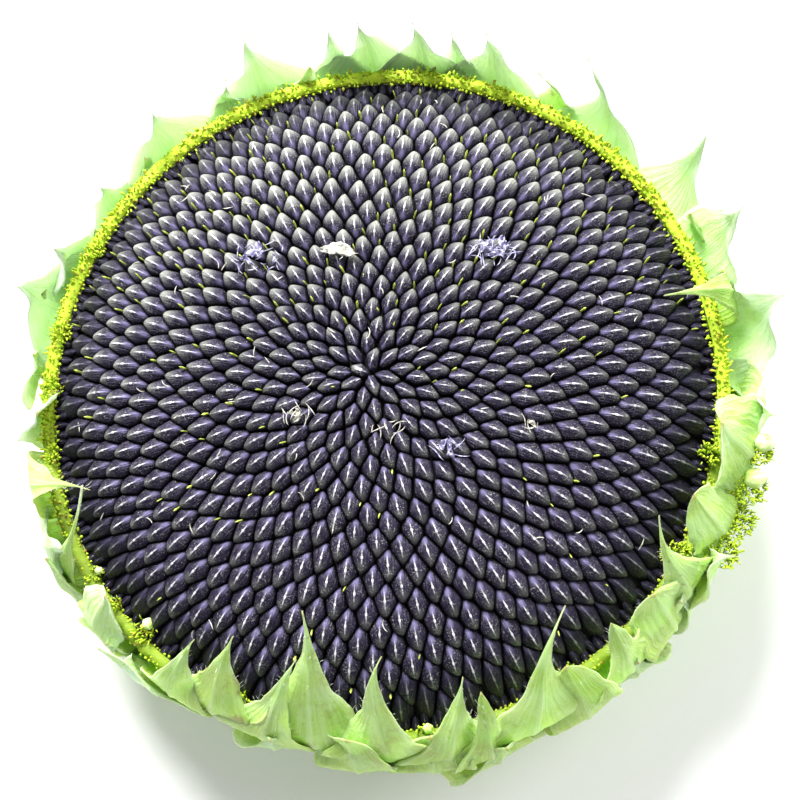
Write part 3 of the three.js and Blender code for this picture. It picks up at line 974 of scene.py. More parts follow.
@dataclass
class SeedDisc:
    """Every seed of the disc as a hull of its own, packed against its neighbours.

    Attributes:
        form: The head's shared sizes.
        finishes: The materials.
        directions: How many points the outline of one seed has.
        rings: How far out each ring of points of its top lies, from 0 in the middle to 1 at its edge.
        skirt: How far down its sides go, in steps.
        packing: How much of its ground a seed fills.
        roundness: How sharp the corners of its outline are. More is sharper.
        keel: How steeply its flanks fall from its ridge.
        ridge_width: The width over which the ridge is rounded.
        slimness: The share of its width that it leaves free at its sides.
        overhang: The share of its length by which its outer end reaches over the next seed.
        groups: How many pieces the seeds are split into.
        rim_count: How many small, undeveloped seeds crowd against the florets.
        spare_count: How many unseen places past the rim bound the outermost seeds.
        neighbour_reach: How near another seed's place is, in the squeezed plane, if it bounds a seed.
    """

    form: HeadForm
    finishes: Finishes
    directions: int = 28
    rings: tuple[float, ...] = (0.12, 0.27, 0.43, 0.60, 0.76, 0.89, 0.97, 1.0)
    skirt: tuple[float, ...] = (1.3, 5.2)
    packing: float = 0.99
    roundness: float = 14.0
    keel: float = 0.60
    ridge_width: float = 0.07
    slimness: float = 0.05
    overhang: float = 0.07
    groups: int = 3
    rim_count: int = 236
    spare_count: int = 140
    neighbour_reach: float = 14.0

    def outlines(self) -> np.ndarray:
        """Work out how far each seed reaches in every direction, in the squeezed plane.

        Returns:
            One row of reaches for each seed, from the outward direction on.
        """
        radius, azimuth = self.form.seed_places(spare=self.spare_count)
        flat = around(self.form.squeeze(radius), azimuth, 0.0)[:, :2]
        count = self.form.seed_count
        turn = azimuth[:count, None] + FULL_TURN * np.arange(self.directions) / self.directions
        reach = np.zeros((count, self.directions))
        for number in range(count):
            apart = flat - flat[number]
            distance = np.hypot(apart[:, 0], apart[:, 1])
            near = (distance > 0) & (distance < self.neighbour_reach)
            facing = np.arctan2(apart[near, 1], apart[near, 0])
            lean = np.cos(turn[number][:, None] - facing[None])
            wall = np.where(lean > 0.02, np.maximum(lean, 0.02) / (distance[near] / 2), 0)
            reach[number] = (wall**self.roundness).sum(1) ** (-1 / self.roundness)
        return reach * self.packing

    def build(self) -> list[bpy.types.Object]:
        """Build all seeds.

        Returns:
            The pieces, each with a share of the seeds.
        """
        form = self.form
        count = form.seed_count
        number = np.arange(count)
        radius, azimuth = form.seed_places()
        reach = self.outlines() * (1 - 0.03 * scatter(number, 11))[:, None]
        middle = around(form.squeeze(radius), azimuth, 0.0)[:, :2]
        turn = azimuth[:, None] + FULL_TURN * np.arange(self.directions) / self.directions
        spokes = np.stack([np.cos(turn), np.sin(turn)], -1) * reach[..., None]
        shares = np.array([*self.rings, *[1.0] * len(self.skirt)])
        flat = middle[:, None, None] + spokes[:, None] * shares[None, :, None, None]
        centre = np.broadcast_to(middle[:, None], (count, 1, 2))
        flat = np.concatenate([centre, flat.reshape(count, -1, 2), centre], axis=1)
        edge = np.concatenate([[0.0], np.repeat(shares, self.directions), [1.0]])
        depth = np.concatenate([np.zeros(len(self.rings)), self.skirt])
        depth = np.concatenate([[0.0], np.repeat(depth, self.directions), [self.skirt[-1]]])

        far = form.unsqueeze(np.hypot(flat[..., 0], flat[..., 1]))
        angle = np.arctan2(flat[..., 1], flat[..., 0])
        away = (angle - azimuth[:, None] + math.pi) % FULL_TURN - math.pi
        centred = 0.12 * (1 - smooth(4.0, 26.0, radius))
        away = away * (1 - self.slimness - centred - 0.05 * scatter(number, 17))[:, None]
        outward = far > radius[:, None]
        far = np.where(outward, far + self.overhang * (far - radius[:, None]), far)
        far = np.minimum(far, form.field_edge)
        along = far - radius[:, None]
        across = radius[:, None] * away
        length = np.maximum(np.abs(along).max(1, keepdims=True), 1e-6)
        width = np.maximum(np.abs(across).max(1, keepdims=True), 1e-6)
        twist = (scatter(number, 12)[:, None] - 0.5) * 0.24
        from_ridge = across - twist * along
        s = along / length
        outer_part = np.maximum(s, 0)
        softness = self.ridge_width + 0.9 * outer_part**2
        keel = self.keel * (np.sqrt(from_ridge**2 + softness**2) - softness)
        ends = 1.25 * np.abs(s) ** 1.9 + 0.35 * outer_part**4 - 0.35 * s
        rounding = 0.7 * edge**9
        lean = 0.12 * (scatter(number, 13)[:, None] - 0.5)
        roll = 0.12 * (scatter(number, 14)[:, None] - 0.5)
        lift = 0.8 * (scatter(number, 15)[:, None] - 0.5)
        small = smooth(2.0, 26.0, radius)[:, None] * 0.35 + 0.65
        height = (-keel - ends - rounding) * small + lean * along + roll * across + lift - depth
        x, y = radius * np.cos(azimuth), radius * np.sin(azimuth)
        # The pale outer ends are painted larger towards +y, the side of the key light: partly dust, partly
        # painted light.
        dusted = smooth(-25, 62, y - 0.25 * x) * (0.8 + 0.2 * scatter(number, 19))

        tilt = form.tilt(radius)[:, None]
        base = around(far, azimuth[:, None] + away, form.top(far))
        outwards = around(np.sin(tilt), azimuth[:, None], np.cos(tilt))
        points = base + outwards * height[..., None]
        place = np.stack([s, across / width, np.broadcast_to(edge, s.shape)], -1)
        pieces = []
        for group in range(self.groups):
            chosen = np.arange(group, count, self.groups)
            draft = MeshDraft()
            per_seed = points.shape[1]
            # The seeds darken towards the rim as painted shade.
            draft.add(
                points[chosen].reshape(-1, 3),
                self.faces(len(chosen), per_seed),
                seed_place=place[chosen].reshape(-1, 3),
                chance=np.repeat(scatter(chosen, 16), per_seed),
                dusted=np.repeat(dusted[chosen], per_seed),
                unripe=np.repeat(smooth(66, 73.5, radius[chosen] + 3 * scatter(chosen, 18)), per_seed),
            )
            piece = draft.make(f"seeds_{group + 1}", self.finishes["seed"])
            pieces.append(declare(piece, "seed_disc"))
        return pieces

    def build_rim_seeds(self) -> bpy.types.Object:
        """Build the small, undeveloped seeds that crowd between the ripe ones and the florets.

        Returns:
            All of them as one piece.
        """
        form = self.form
        draft = MeshDraft()
        t = np.linspace(-1, 1, 8)
        sides = 9
        swell = (1 - np.abs(t) ** 2.4) ** 0.6
        profile = np.maximum(swell, 0.12)
        for k in range(self.rim_count):
            radius = 75.0 + 0.9 * (k % 2) + 0.5 * scatter(k, 101)
            turn = FULL_TURN * (k + 0.5 * scatter(k, 102)) / self.rim_count
            reach = 1.7 + 0.5 * scatter(k, 103)
            far = radius + reach * t
            sink = 0.9 + 0.7 * scatter(k, 104)
            height = np.maximum(form.top(radius) - sink - 0.55 * reach * t, form.lip_height + 0.1)
            path = around(far, turn + 0.012 * (scatter(k, 105) - 0.5) * t, height)
            girth = 0.85 + 0.25 * scatter(k, 106)
            points, faces = tube(path, profile * girth, sides)
            spin = FULL_TURN * np.arange(sides) / sides
            across = np.append((profile[:, None] * np.cos(spin)[None]).ravel(), [0.0, 0.0])
            along = np.append(np.repeat(t, sides), [-1.0, 1.0])
            place = np.stack([along, across, np.full(len(points), 0.7)], -1)
            # These seeds are painted fully dark, as shade at the rim.
            draft.add(points, faces, seed_place=place, chance=0.3 * scatter(k, 107), unripe=1.0, dusted=0.0)
        return declare(draft.make("seeds_at_rim", self.finishes["seed"]), "seed_disc")

    def faces(self, count: int, per_seed: int) -> list[np.ndarray]:
        """List the faces of some seeds that follow each other.

        Args:
            count: How many seeds there are.
            per_seed: How many points each has.

        Returns:
            The faces.
        """
        rows = len(self.rings) + len(self.skirt)
        cap = fan(0, 1, self.directions)
        foot = fan(per_seed - 1, 1 + (rows - 1) * self.directions, self.directions, turned_over=True)
        walls = grid_faces(rows, self.directions, closed=True)[:, ::-1] + 1
        offset = per_seed * np.arange(count)[:, None, None]
        return [(block + offset).reshape(-1, block.shape[1]) for block in (cap, foot, walls)]

    def build_bed(self) -> bpy.types.Object:
        """Build the near-black bed that the seeds stand in, painted shade in the gaps between them.

        Returns:
            The bed.
        """
        form = self.form
        radius = np.append(np.linspace(0.05, form.field_edge - 1.2, 26), form.field_edge + 0.25)
        top = form.top(radius) - 4.2
        top[-1] = form.lip_height + 0.3
        floor = form.dome_top - 11 - form.dome_fall * np.minimum(1, radius / form.field_radius) ** 2
        floor = floor - 4 * np.minimum(1, radius / form.field_radius) ** 4
        floor = np.minimum(floor, form.top(radius) - 4.6)
        outline = np.concatenate([np.stack([radius, floor], -1), np.stack([radius, top], -1)[::-1]])
        return declare(turned("seed_bed_shade", outline, 96, self.finishes["bed"]), "seed_disc")


def turned(name: str, outline: np.ndarray, steps: int, material: bpy.types.Material) -> bpy.types.Object:
    """Turn a closed outline about the Z axis.

    Args:
        name: The object's name.
        outline: Radii and heights, outwards at the bottom and inwards at the top.
        steps: How many steps a turn has.
        material: What it is made of.

    Returns:
        The new object.
    """
    points = around(outline[:, None, 0], angles(steps)[None], outline[:, None, 1]).reshape(-1, 3)
    count = len(points)
    centres = np.array([[0, 0, outline[0, 1]], [0, 0, outline[-1, 1]]])
    bottom = fan(count, 0, steps, turned_over=True)
    top = fan(count + 1, count - steps, steps)
    draft = MeshDraft()
    draft.add(np.concatenate([points, centres]), [grid_faces(len(outline), steps, closed=True), bottom, top])
    return draft.make(name, material)


# Chaff and dried florets on the disc


class DebrisKind(Enum):
    """What a clump of dried florets is made of."""

    WHITE = "dried"
    LILAC = "lilac"


@dataclass(frozen=True)
class Clump:
    """A clump of dried florets that lies on the seeds.

    Attributes:
        x: Its place to the right of the middle.
        y: Its place above the middle, in the view from above.
        size: How far it spreads.
        count: How many slivers it has.
        kind: What it is made of.
        flakes: How many crumpled flakes it has.
        flake_size: How long they are.
    """

    x: float
    y: float
    size: float
    count: int
    kind: DebrisKind
    flakes: int = 0
    flake_size: float = 3.0


@dataclass
class DiscLitter:
    """The chaff tips between the seeds and the dried florets that lie on them.

    Attributes:
        form: The head's shared sizes.
        finishes: The materials.
        tip_share: The share of seeds with a chaff tip that shows, on the side that it shows least and most.
        loose_bits: How many single slivers are scattered over the disc.
        loose_width: How thick they are.
        clump_width: How thick the slivers of the clumps are.
        clumps: The clumps that the head carries.
    """

    form: HeadForm
    finishes: Finishes
    tip_share: tuple[float, float] = (0.10, 0.62)
    loose_bits: int = 70
    loose_width: float = 0.13
    clump_width: float = 0.12
    clumps: tuple[Clump, ...] = (
        Clump(-5.5, 28.5, 2.6, 4, DebrisKind.WHITE, 2, 7.0),
        Clump(28.5, 28.0, 9.0, 36, DebrisKind.LILAC, 9, 3.4),
        Clump(-25.0, 28.5, 11.0, 20, DebrisKind.LILAC, 6, 3.6),
        Clump(-15.5, -9.0, 6.0, 10, DebrisKind.WHITE, 3, 3.6),
        Clump(4.5, -13.0, 6.0, 9, DebrisKind.WHITE),
        Clump(18.0, -17.5, 6.0, 10, DebrisKind.LILAC, 3, 3.0),
        Clump(36.0, -12.5, 4.0, 5, DebrisKind.WHITE, 1, 2.4),
    )

    def on_top(self, x: np.ndarray, y: np.ndarray, above: np.ndarray | float) -> np.ndarray:
        """Put places of the plan onto the seeds.

        Args:
            x: Places to the right.
            y: Places upwards.
            above: How far above the seeds' tops they lie.

        Returns:
            The points.
        """
        return np.stack([x, y, self.form.top(np.hypot(x, y)) + above], -1)

    def build_tips(self) -> bpy.types.Object:
        """Build the pointed tips of the chaff, which show at the outer ends of the seeds.

        Returns:
            The chaff tips as one piece.
        """
        form = self.form
        radius, azimuth = form.seed_places()
        number = np.arange(form.seed_count)
        least, most = self.tip_share
        share = least + (most - least) * smooth(-12, 34, radius * np.sin(azimuth))
        shown = number[(scatter(number, 21) < share) & (radius > 4)]
        draft = MeshDraft()
        for k in shown:
            size = 0.42 + 0.4 * scatter(k, 22)
            out = 3.1 + 0.35 * scatter(k, 23)
            side = (scatter(k, 24) - 0.5) * 1.1
            turn = azimuth[k] + side / radius[k]
            low = around(radius[k] + out, turn, form.top(radius[k] + out) - 3.4)
            lean = around(0.5 + 0.5 * scatter(k, 25), azimuth[k] + scatter(k, 26) * 0.8 - 0.4, 0.0)
            rise = 2.3 + 1.1 * scatter(k, 27)
            shoulder = low + [0, 0, rise] + lean
            point = low + [0, 0, rise + 0.6] + lean * 1.6
            path = np.stack([low, low + [0, 0, rise * 0.6], shoulder, point])
            points, faces = tube(path, np.array([0.22, 0.30, 0.40, 0.10]) * size, 5)
            draft.add(points, faces)
        return declare(draft.make("chaff_tips", self.finishes["chaff"]), "seed_disc")

    def sliver(self, x: float, y: float, above: float, key: float, length: float, width: float) -> Solid:
        """Build one shrivelled bit as a thin, bent, boat-shaped sliver.

        Args:
            x: Its place to the right.
            y: Its place upwards.
            above: How far above the seeds it lies.
            key: What its scattered numbers follow from.
            length: Its length.
            width: Its width.

        Returns:
            Its points and faces.
        """
        turn = FULL_TURN * scatter(key, 31)
        bend = (scatter(key, 32) - 0.5) * 1.6
        t = np.linspace(-1, 1, 7)
        heading = turn + bend * t
        step = length / 6
        dx = np.cumsum(np.cos(heading)) * step
        dy = np.cumsum(np.sin(heading)) * step
        px = x + dx - dx.mean()
        py = y + dy - dy.mean()
        rise = above + (scatter(key, 33) - 0.3) * 0.5 * t * length * 0.4 + 0.25 * scatter(key, 34) * t**2
        path = self.on_top(px, py, rise)
        radii = width * (0.12 + 0.88 * (1 - np.abs(t) ** 2.2))
        points, faces = tube(path, radii, 6)
        centre = np.concatenate([np.repeat(path, 6, axis=0), path[:1], path[-1:]])
        flat = points - centre
        flat[:, 2] *= 0.45
        return centre + flat, faces

    def flake(self, x: float, y: float, key: float, length: float) -> Solid:
        """Build one thin, crumpled flake of a dried floret.

        Args:
            x: Its place to the right.
            y: Its place upwards.
            key: What its scattered numbers follow from.
            length: Its length.

        Returns:
            Its points and faces.
        """
        along = np.linspace(-1, 1, 12)[:, None]
        across = np.linspace(-1, 1, 7)[None]
        turn = FULL_TURN * scatter(key, 45)
        ragged = 1 + 0.5 * (scatter(np.arange(12) + 31 * key, 46)[:, None] - 0.5)
        half = length * (0.15 + 0.07 * scatter(key, 47)) * (1 - 0.8 * np.abs(along) ** 3) * ragged
        run = length / 2 * along + 0.1 * length * across**2
        side = half * across + 0.12 * length * np.sin(2 * along + key)
        crumple = 0.28 * np.sin(5 * along + 2 * across + key)
        crumple = crumple + 0.22 * np.sin(3 * across - 4 * along + 2 * key)
        rise = 0.75 + crumple + 0.35 * across**2
        dx = run * np.cos(turn) - side * np.sin(turn)
        dy = run * np.sin(turn) + side * np.cos(turn)
        sheet = self.on_top(x + dx, y + dy, rise)
        return closed_sheet(sheet, sheet - np.array([0, 0, 0.09]))

    def build_bits(self) -> list[bpy.types.Object]:
        """Build the clumps and the loose slivers.

        Returns:
            One piece for the white bits and one for the lilac ones.
        """
        drafts = {kind: MeshDraft() for kind in DebrisKind}
        for which, clump in enumerate(self.clumps):
            for k in range(clump.count):
                key = 100 + 40 * which + k
                far = clump.size * math.sqrt(scatter(key, 35)) * 0.6
                turn = FULL_TURN * scatter(key, 36)
                length = 1.6 + 2.6 * scatter(key, 37)
                above = 0.1 + 1.2 * scatter(key, 38) * (1 - far / clump.size)
                x = clump.x + far * math.cos(turn)
                y = clump.y + far * math.sin(turn) * 0.6
                drafts[clump.kind].add(*self.sliver(x, y, above, key, length, self.clump_width))
            for k in range(clump.flakes):
                key = 400 + 20 * which + k
                far = clump.size * math.sqrt(scatter(key, 48)) * 0.4 * min(1, k)
                turn = FULL_TURN * scatter(key, 49)
                length = clump.flake_size * (0.6 + 0.5 * scatter(key, 50))
                x = clump.x + far * math.cos(turn)
                y = clump.y + far * math.sin(turn) * 0.5
                drafts[clump.kind].add(*self.flake(x, y, key, length))
        for k in range(self.loose_bits):
            far = self.form.field_radius * 0.96 * math.sqrt(scatter(k, 41))
            turn = FULL_TURN * scatter(k, 42)
            length = 1.2 + 2.0 * scatter(k, 43)
            x, y = far * math.cos(turn), far * math.sin(turn)
            drafts[DebrisKind.WHITE].add(*self.sliver(x, y, 0.0, 900 + k, length, self.loose_width))
        pieces = []
        for kind, draft in drafts.items():
            piece = draft.make(f"dried_bits_{kind.value}", self.finishes[kind.value])
            pieces.append(declare(piece, "seed_disc"))
        return pieces


# Florets at the rim


@dataclass(frozen=True)
class Tuft:
    """A tuft of longer curled florets at the rim.

    Attributes:
        azimuth: Where it stands, in degrees.
        radius: How far out.
        height: How high.
        spread: How far its feet are spread.
        count: How many florets it has.
        length: How long they are.
        bud: The radius of the round bud in it, if it has one.
        withered: How dark and brown it is.
    """

    azimuth: float
    radius: float
    height: float
    spread: float
    count: int
    length: float
    bud: float = 0.0
    withered: float = 0.0


@dataclass(frozen=True)
class FloretRow:
    """One row of the band of florets.

    Attributes:
        radius: Its radius.
        count: How many florets it has.
        length: How long they are.
        inwards: How far they lean over the seeds, as a share of their length.
    """

    radius: float
    count: int
    length: float
    inwards: float


@dataclass
class RimFlorets:
    """The crowded band of dried florets between seeds and bracts.

    Attributes:
        form: The head's shared sizes.
        finishes: The materials.
        rows: The rows of the band.
        tufts: The tufts of longer florets.
        sides: How many sides a floret has.
        joints: How many rings of points a floret has.
        bud_rings: How many rings of points a bud has.
        bud_sides: How many points each of them has.
        ring_steps: How many steps the low ring has in a turn.
    """

    form: HeadForm
    finishes: Finishes
    rows: tuple[FloretRow, ...] = (
        FloretRow(77.3, 430, 1.4, 0.5),
        FloretRow(77.9, 440, 1.8, 0.25),
        FloretRow(78.6, 450, 2.1, 0.0),
        FloretRow(79.3, 450, 2.1, -0.1),
        FloretRow(80.0, 420, 1.9, -0.15),
    )
    tufts: tuple[Tuft, ...] = (
        Tuft(-134.0, 76.0, 34.5, 2.6, 60, 3.2, 1.35),
        Tuft(-141.0, 77.0, 34.5, 1.8, 26, 3.0),
        Tuft(-147.0, 77.2, 34.5, 1.8, 26, 2.6, 0.9),
        Tuft(-113.0, 77.5, 35.0, 2.4, 44, 3.2),
        Tuft(-82.0, 78.0, 35.0, 1.8, 30, 2.6, 1.1),
        Tuft(-57.0, 77.0, 35.0, 1.8, 24, 2.6),
        Tuft(-31.0, 77.0, 36.0, 3.0, 110, 3.2, 0.0, 0.7),
        Tuft(-17.0, 86.0, 36.0, 4.0, 250, 2.6, 2.3, 0.8),
        Tuft(-22.0, 85.5, 35.0, 4.0, 250, 2.6, 0.0, 0.9),
        Tuft(-11.5, 86.5, 38.0, 3.2, 210, 2.4, 2.1, 0.6),
        Tuft(-27.0, 85.5, 36.0, 3.6, 230, 2.6, 0.0, 0.9),
        Tuft(-13.0, 76.5, 36.0, 2.4, 60, 2.8, 0.0, 0.6),
        Tuft(178.0, 77.5, 35.0, 2.4, 46, 3.2),
        Tuft(168.0, 77.5, 35.0, 2.4, 40, 3.0),
        Tuft(190.0, 77.5, 35.0, 2.0, 34, 2.8),
        Tuft(152.0, 77.5, 35.0, 2.2, 34, 2.8),
    )
    sides: int = 5
    joints: int = 5
    bud_rings: int = 12
    bud_sides: int = 20
    ring_steps: int = 540

    def floret(
        self,
        foot: np.ndarray,
        key: float,
        length: float,
        thick: float,
        lean: np.ndarray,
        withered: float = 0.0,
    ) -> tuple[np.ndarray, list[np.ndarray], np.ndarray]:
        """Build one floret as a bent strand that flares and shrivels at its mouth.

        Args:
            foot: Where it stands.
            key: What its scattered numbers follow from.
            length: How long it is.
            thick: Its radius.
            lean: How far its end leans sideways.
            withered: How dark and brown it is.

        Returns:
            Its points, its faces and its layer.
        """
        t = np.linspace(0, 1, self.joints)
        turn = FULL_TURN * scatter(key, 51)
        curl = 3.0 * (scatter(key, 52) - 0.5)
        wander = np.stack([np.cos(turn + curl * t), np.sin(turn + curl * t), np.zeros(self.joints)], -1)
        rise = length * np.sin(t * (1.1 + 0.9 * scatter(key, 53)))
        path = foot + wander * (0.35 * length * t**1.4)[:, None] + lean * (t**1.5)[:, None]
        path[:, 2] += rise
        radii = thick * np.interp(t, [0, 0.3, 0.75, 0.9, 1], [0.8, 0.7, 1.0, 1.15, 0.25])
        points, faces = tube(path, radii, self.sides)
        crumple = 1 + 0.5 * (scatter(np.arange(len(points)) + 17 * key, 54) - 0.5)
        centre = np.concatenate([np.repeat(path, self.sides, axis=0), path[:1], path[-1:]])
        points = centre + (points - centre) * crumple[:, None]
        share = np.concatenate([np.repeat(t, self.sides), [0.0, 1.0]])
        chance = np.full(len(points), scatter(key, 55) * (1 - 0.6 * withered))
        brown = np.full(len(points), smooth(0.6 - 0.5 * withered, 0.95, scatter(key, 56)))
        return points, faces, np.stack([share * (1 - 0.35 * withered), chance, brown], -1)

    def bud(self, centre: np.ndarray, radius: float, key: float) -> Solid:
        """Build a round green bud, puckered like a closed floret head.

        Args:
            centre: Its middle.
            radius: Its radius.
            key: What its scattered numbers follow from.

        Returns:
            Its points and faces.
        """
        rows, sides = self.bud_rings, self.bud_sides
        polar = np.linspace(0.12, math.pi - 0.12, rows)[:, None]
        turn = angles(sides)[None]
        lobes = 0.07 * np.cos(5 * turn + key) * np.sin(polar)
        pucker = radius * (1 + lobes + 0.05 * np.cos(9 * polar + turn))
        rings = around(pucker * np.sin(polar), turn, pucker * np.cos(polar) * 0.9)
        poles = [[0, 0, radius * 0.8], [0, 0, -radius * 0.8]]
        points = np.concatenate([rings.reshape(-1, 3), poles]) + centre
        top = fan(rows * sides, 0, sides)
        foot = fan(rows * sides + 1, (rows - 1) * sides, sides, turned_over=True)
        return points, [grid_faces(rows, sides, closed=True)[:, ::-1], top, foot]

    def build(self) -> list[bpy.types.Object]:
        """Build the band, its tufts and their buds.

        Returns:
            The florets as one piece and the buds as another.
        """
        draft = MeshDraft()
        buds = MeshDraft()
        base = self.form.lip_height + 0.3
        for which, row in enumerate(self.rows):
            for k in range(row.count):
                key = 1000 * (which + 1) + k
                turn = FULL_TURN * (k + 0.8 * scatter(key, 57)) / row.count
                foot = around(row.radius + 0.7 * (scatter(key, 58) - 0.5), turn, base)
                crowd = 0.8 + 0.25 * math.sin(7 * turn + 1) * math.sin(17 * turn) + 0.35 * scatter(key, 59)
                crowd = crowd * smooth(-0.75, -0.1, math.sin(turn)) * 0.45 + crowd * 0.55
                length = row.length * crowd
                lean = around(-row.inwards * length, turn, -0.55 * length * max(0.0, row.inwards))
                points, faces, layer = self.floret(foot, key, length, 0.22 + 0.2 * scatter(key, 60), lean)
                draft.add(points, faces, floret=layer)
        for which, tuft in enumerate(self.tufts):
            middle = around(tuft.radius, math.radians(tuft.azimuth), tuft.height - 1.5)
            for k in range(tuft.count):
                key = 9000 + 260 * which + k
                far = tuft.spread * math.sqrt(scatter(key, 61))
                turn = FULL_TURN * scatter(key, 62)
                away = np.array([math.cos(turn), math.sin(turn), 0.0])
                foot = middle + far * away
                length = tuft.length * (0.5 + 0.5 * scatter(key, 63))
                thick = 0.15 + 0.13 * scatter(key, 60)
                lean = away * far * 0.15
                points, faces, layer = self.floret(foot, key, length, thick, lean, tuft.withered)
                draft.add(points, faces, floret=layer)
            if tuft.bud:
                centre = middle + np.array([0.4 * tuft.spread, 0.5 * tuft.spread, tuft.length * 0.7])
                buds.add(*self.bud(centre, tuft.bud, which))
        points, faces, layer = self.ring()
        draft.add(points, faces, floret=layer)
        pieces = [
            draft.make("rim_floret_band", self.finishes["floret"]),
            buds.make("rim_buds", self.finishes["bud"]),
        ]
        return [declare(piece, "rim_florets") for piece in pieces]

    def ring(self) -> tuple[np.ndarray, list[np.ndarray], np.ndarray]:
        """Build the low ring that the florets' feet crowd into.

        Returns:
            Its points, its faces and its layer.
        """
        base = self.form.lip_height + 0.3
        profile = [(77.3, 0.0), (80.1, 0.0), (80.2, 1.1), (78.7, 1.5), (77.4, 0.9)]
        outline = np.array([[radius, base + rise] for radius, rise in profile])
        steps = self.ring_steps
        turn = angles(steps)
        points = around(outline[None, :, 0], turn[:, None], outline[None, :, 1])
        points[:, 2:, 2] += 0.9 * (scatter(np.arange(steps * 3).reshape(steps, 3), 64) - 0.5)
        corners = len(outline)
        step, side = np.meshgrid(np.arange(steps), np.arange(corners), indexing="ij")
        here = step * corners
        after = (step + 1) % steps * corners
        beside = (side + 1) % corners
        faces = np.stack([here + side, after + side, after + beside, here + beside], -1)
        # Painted shade: on the -y side the ring takes the florets' dark foot colour.
        light = np.repeat(0.04 + 0.46 * smooth(-0.45, 0.05, np.sin(turn)), corners)
        layer = np.stack([light, np.full_like(light, 0.3), np.zeros_like(light)], -1)
        return points.reshape(-1, 3), [faces.reshape(-1, 4)], layer


# Bracts


class Row(Enum):
    """A row of bracts: root radius and height, and the radius and height that its blades swell towards."""

    INNER = (77.6, 24.5, 93.6, 33.0)
    MIDDLE = (74.0, 19.5, 95.6, 26.0)
    OUTER = (68.6, 15.0, 97.0, 19.0)


class Outline(Enum):
    """How a bract narrows: where it starts to, and how it goes on."""

    SPIKE = 0.17
    TAIL = 0.36
    BROAD = 0.50
    BLUNT = 0.52

    def taper(self, t: np.ndarray) -> np.ndarray:
        """Give the share of the full width that is left at a place along the blade."""
        past = np.clip((t - self.value) / (1 - self.value), 0, 1)
        if self is Outline.SPIKE:
            return (1 - past) ** 2.1
        if self is Outline.TAIL:
            return (1 - past) ** 1.65
        if self is Outline.BROAD:
            return (1 - past) * (1 - 0.5 * np.sin(math.pi * past) ** 1.5)
        return (1 - past**2.4) ** 0.75


@dataclass(frozen=True)
class Bract:
    """One bract as it stands on the head.

    Attributes:
        row: Its row.
        outline: How it narrows.
        base: The azimuth of its base, in degrees.
        tip: The azimuth of its tip.
        tip_radius: How far out its tip is.
        tip_height: How high its tip is.
        width: Its width.
        pointing: The direction that its tip points in: 0 is straight out and 90 straight up.
        pale: How pale it is: mostly painted light, high on the side of the key light, with some tone of its
            own.
        stain: How stained it is.
        hook: How far the end of its tip curls sideways.
        twist: How far its upper part turns about its own middle line, in radians.
        fold: How deeply it is folded along its middle line.
    """

    row: Row
    outline: Outline
    base: float
    tip: float
    tip_radius: float
    tip_height: float
    width: float
    pointing: float
    pale: float = 0.3
    stain: float = 0.3
    hook: float = 0.0
    twist: float = 0.0
    fold: float = 0.12


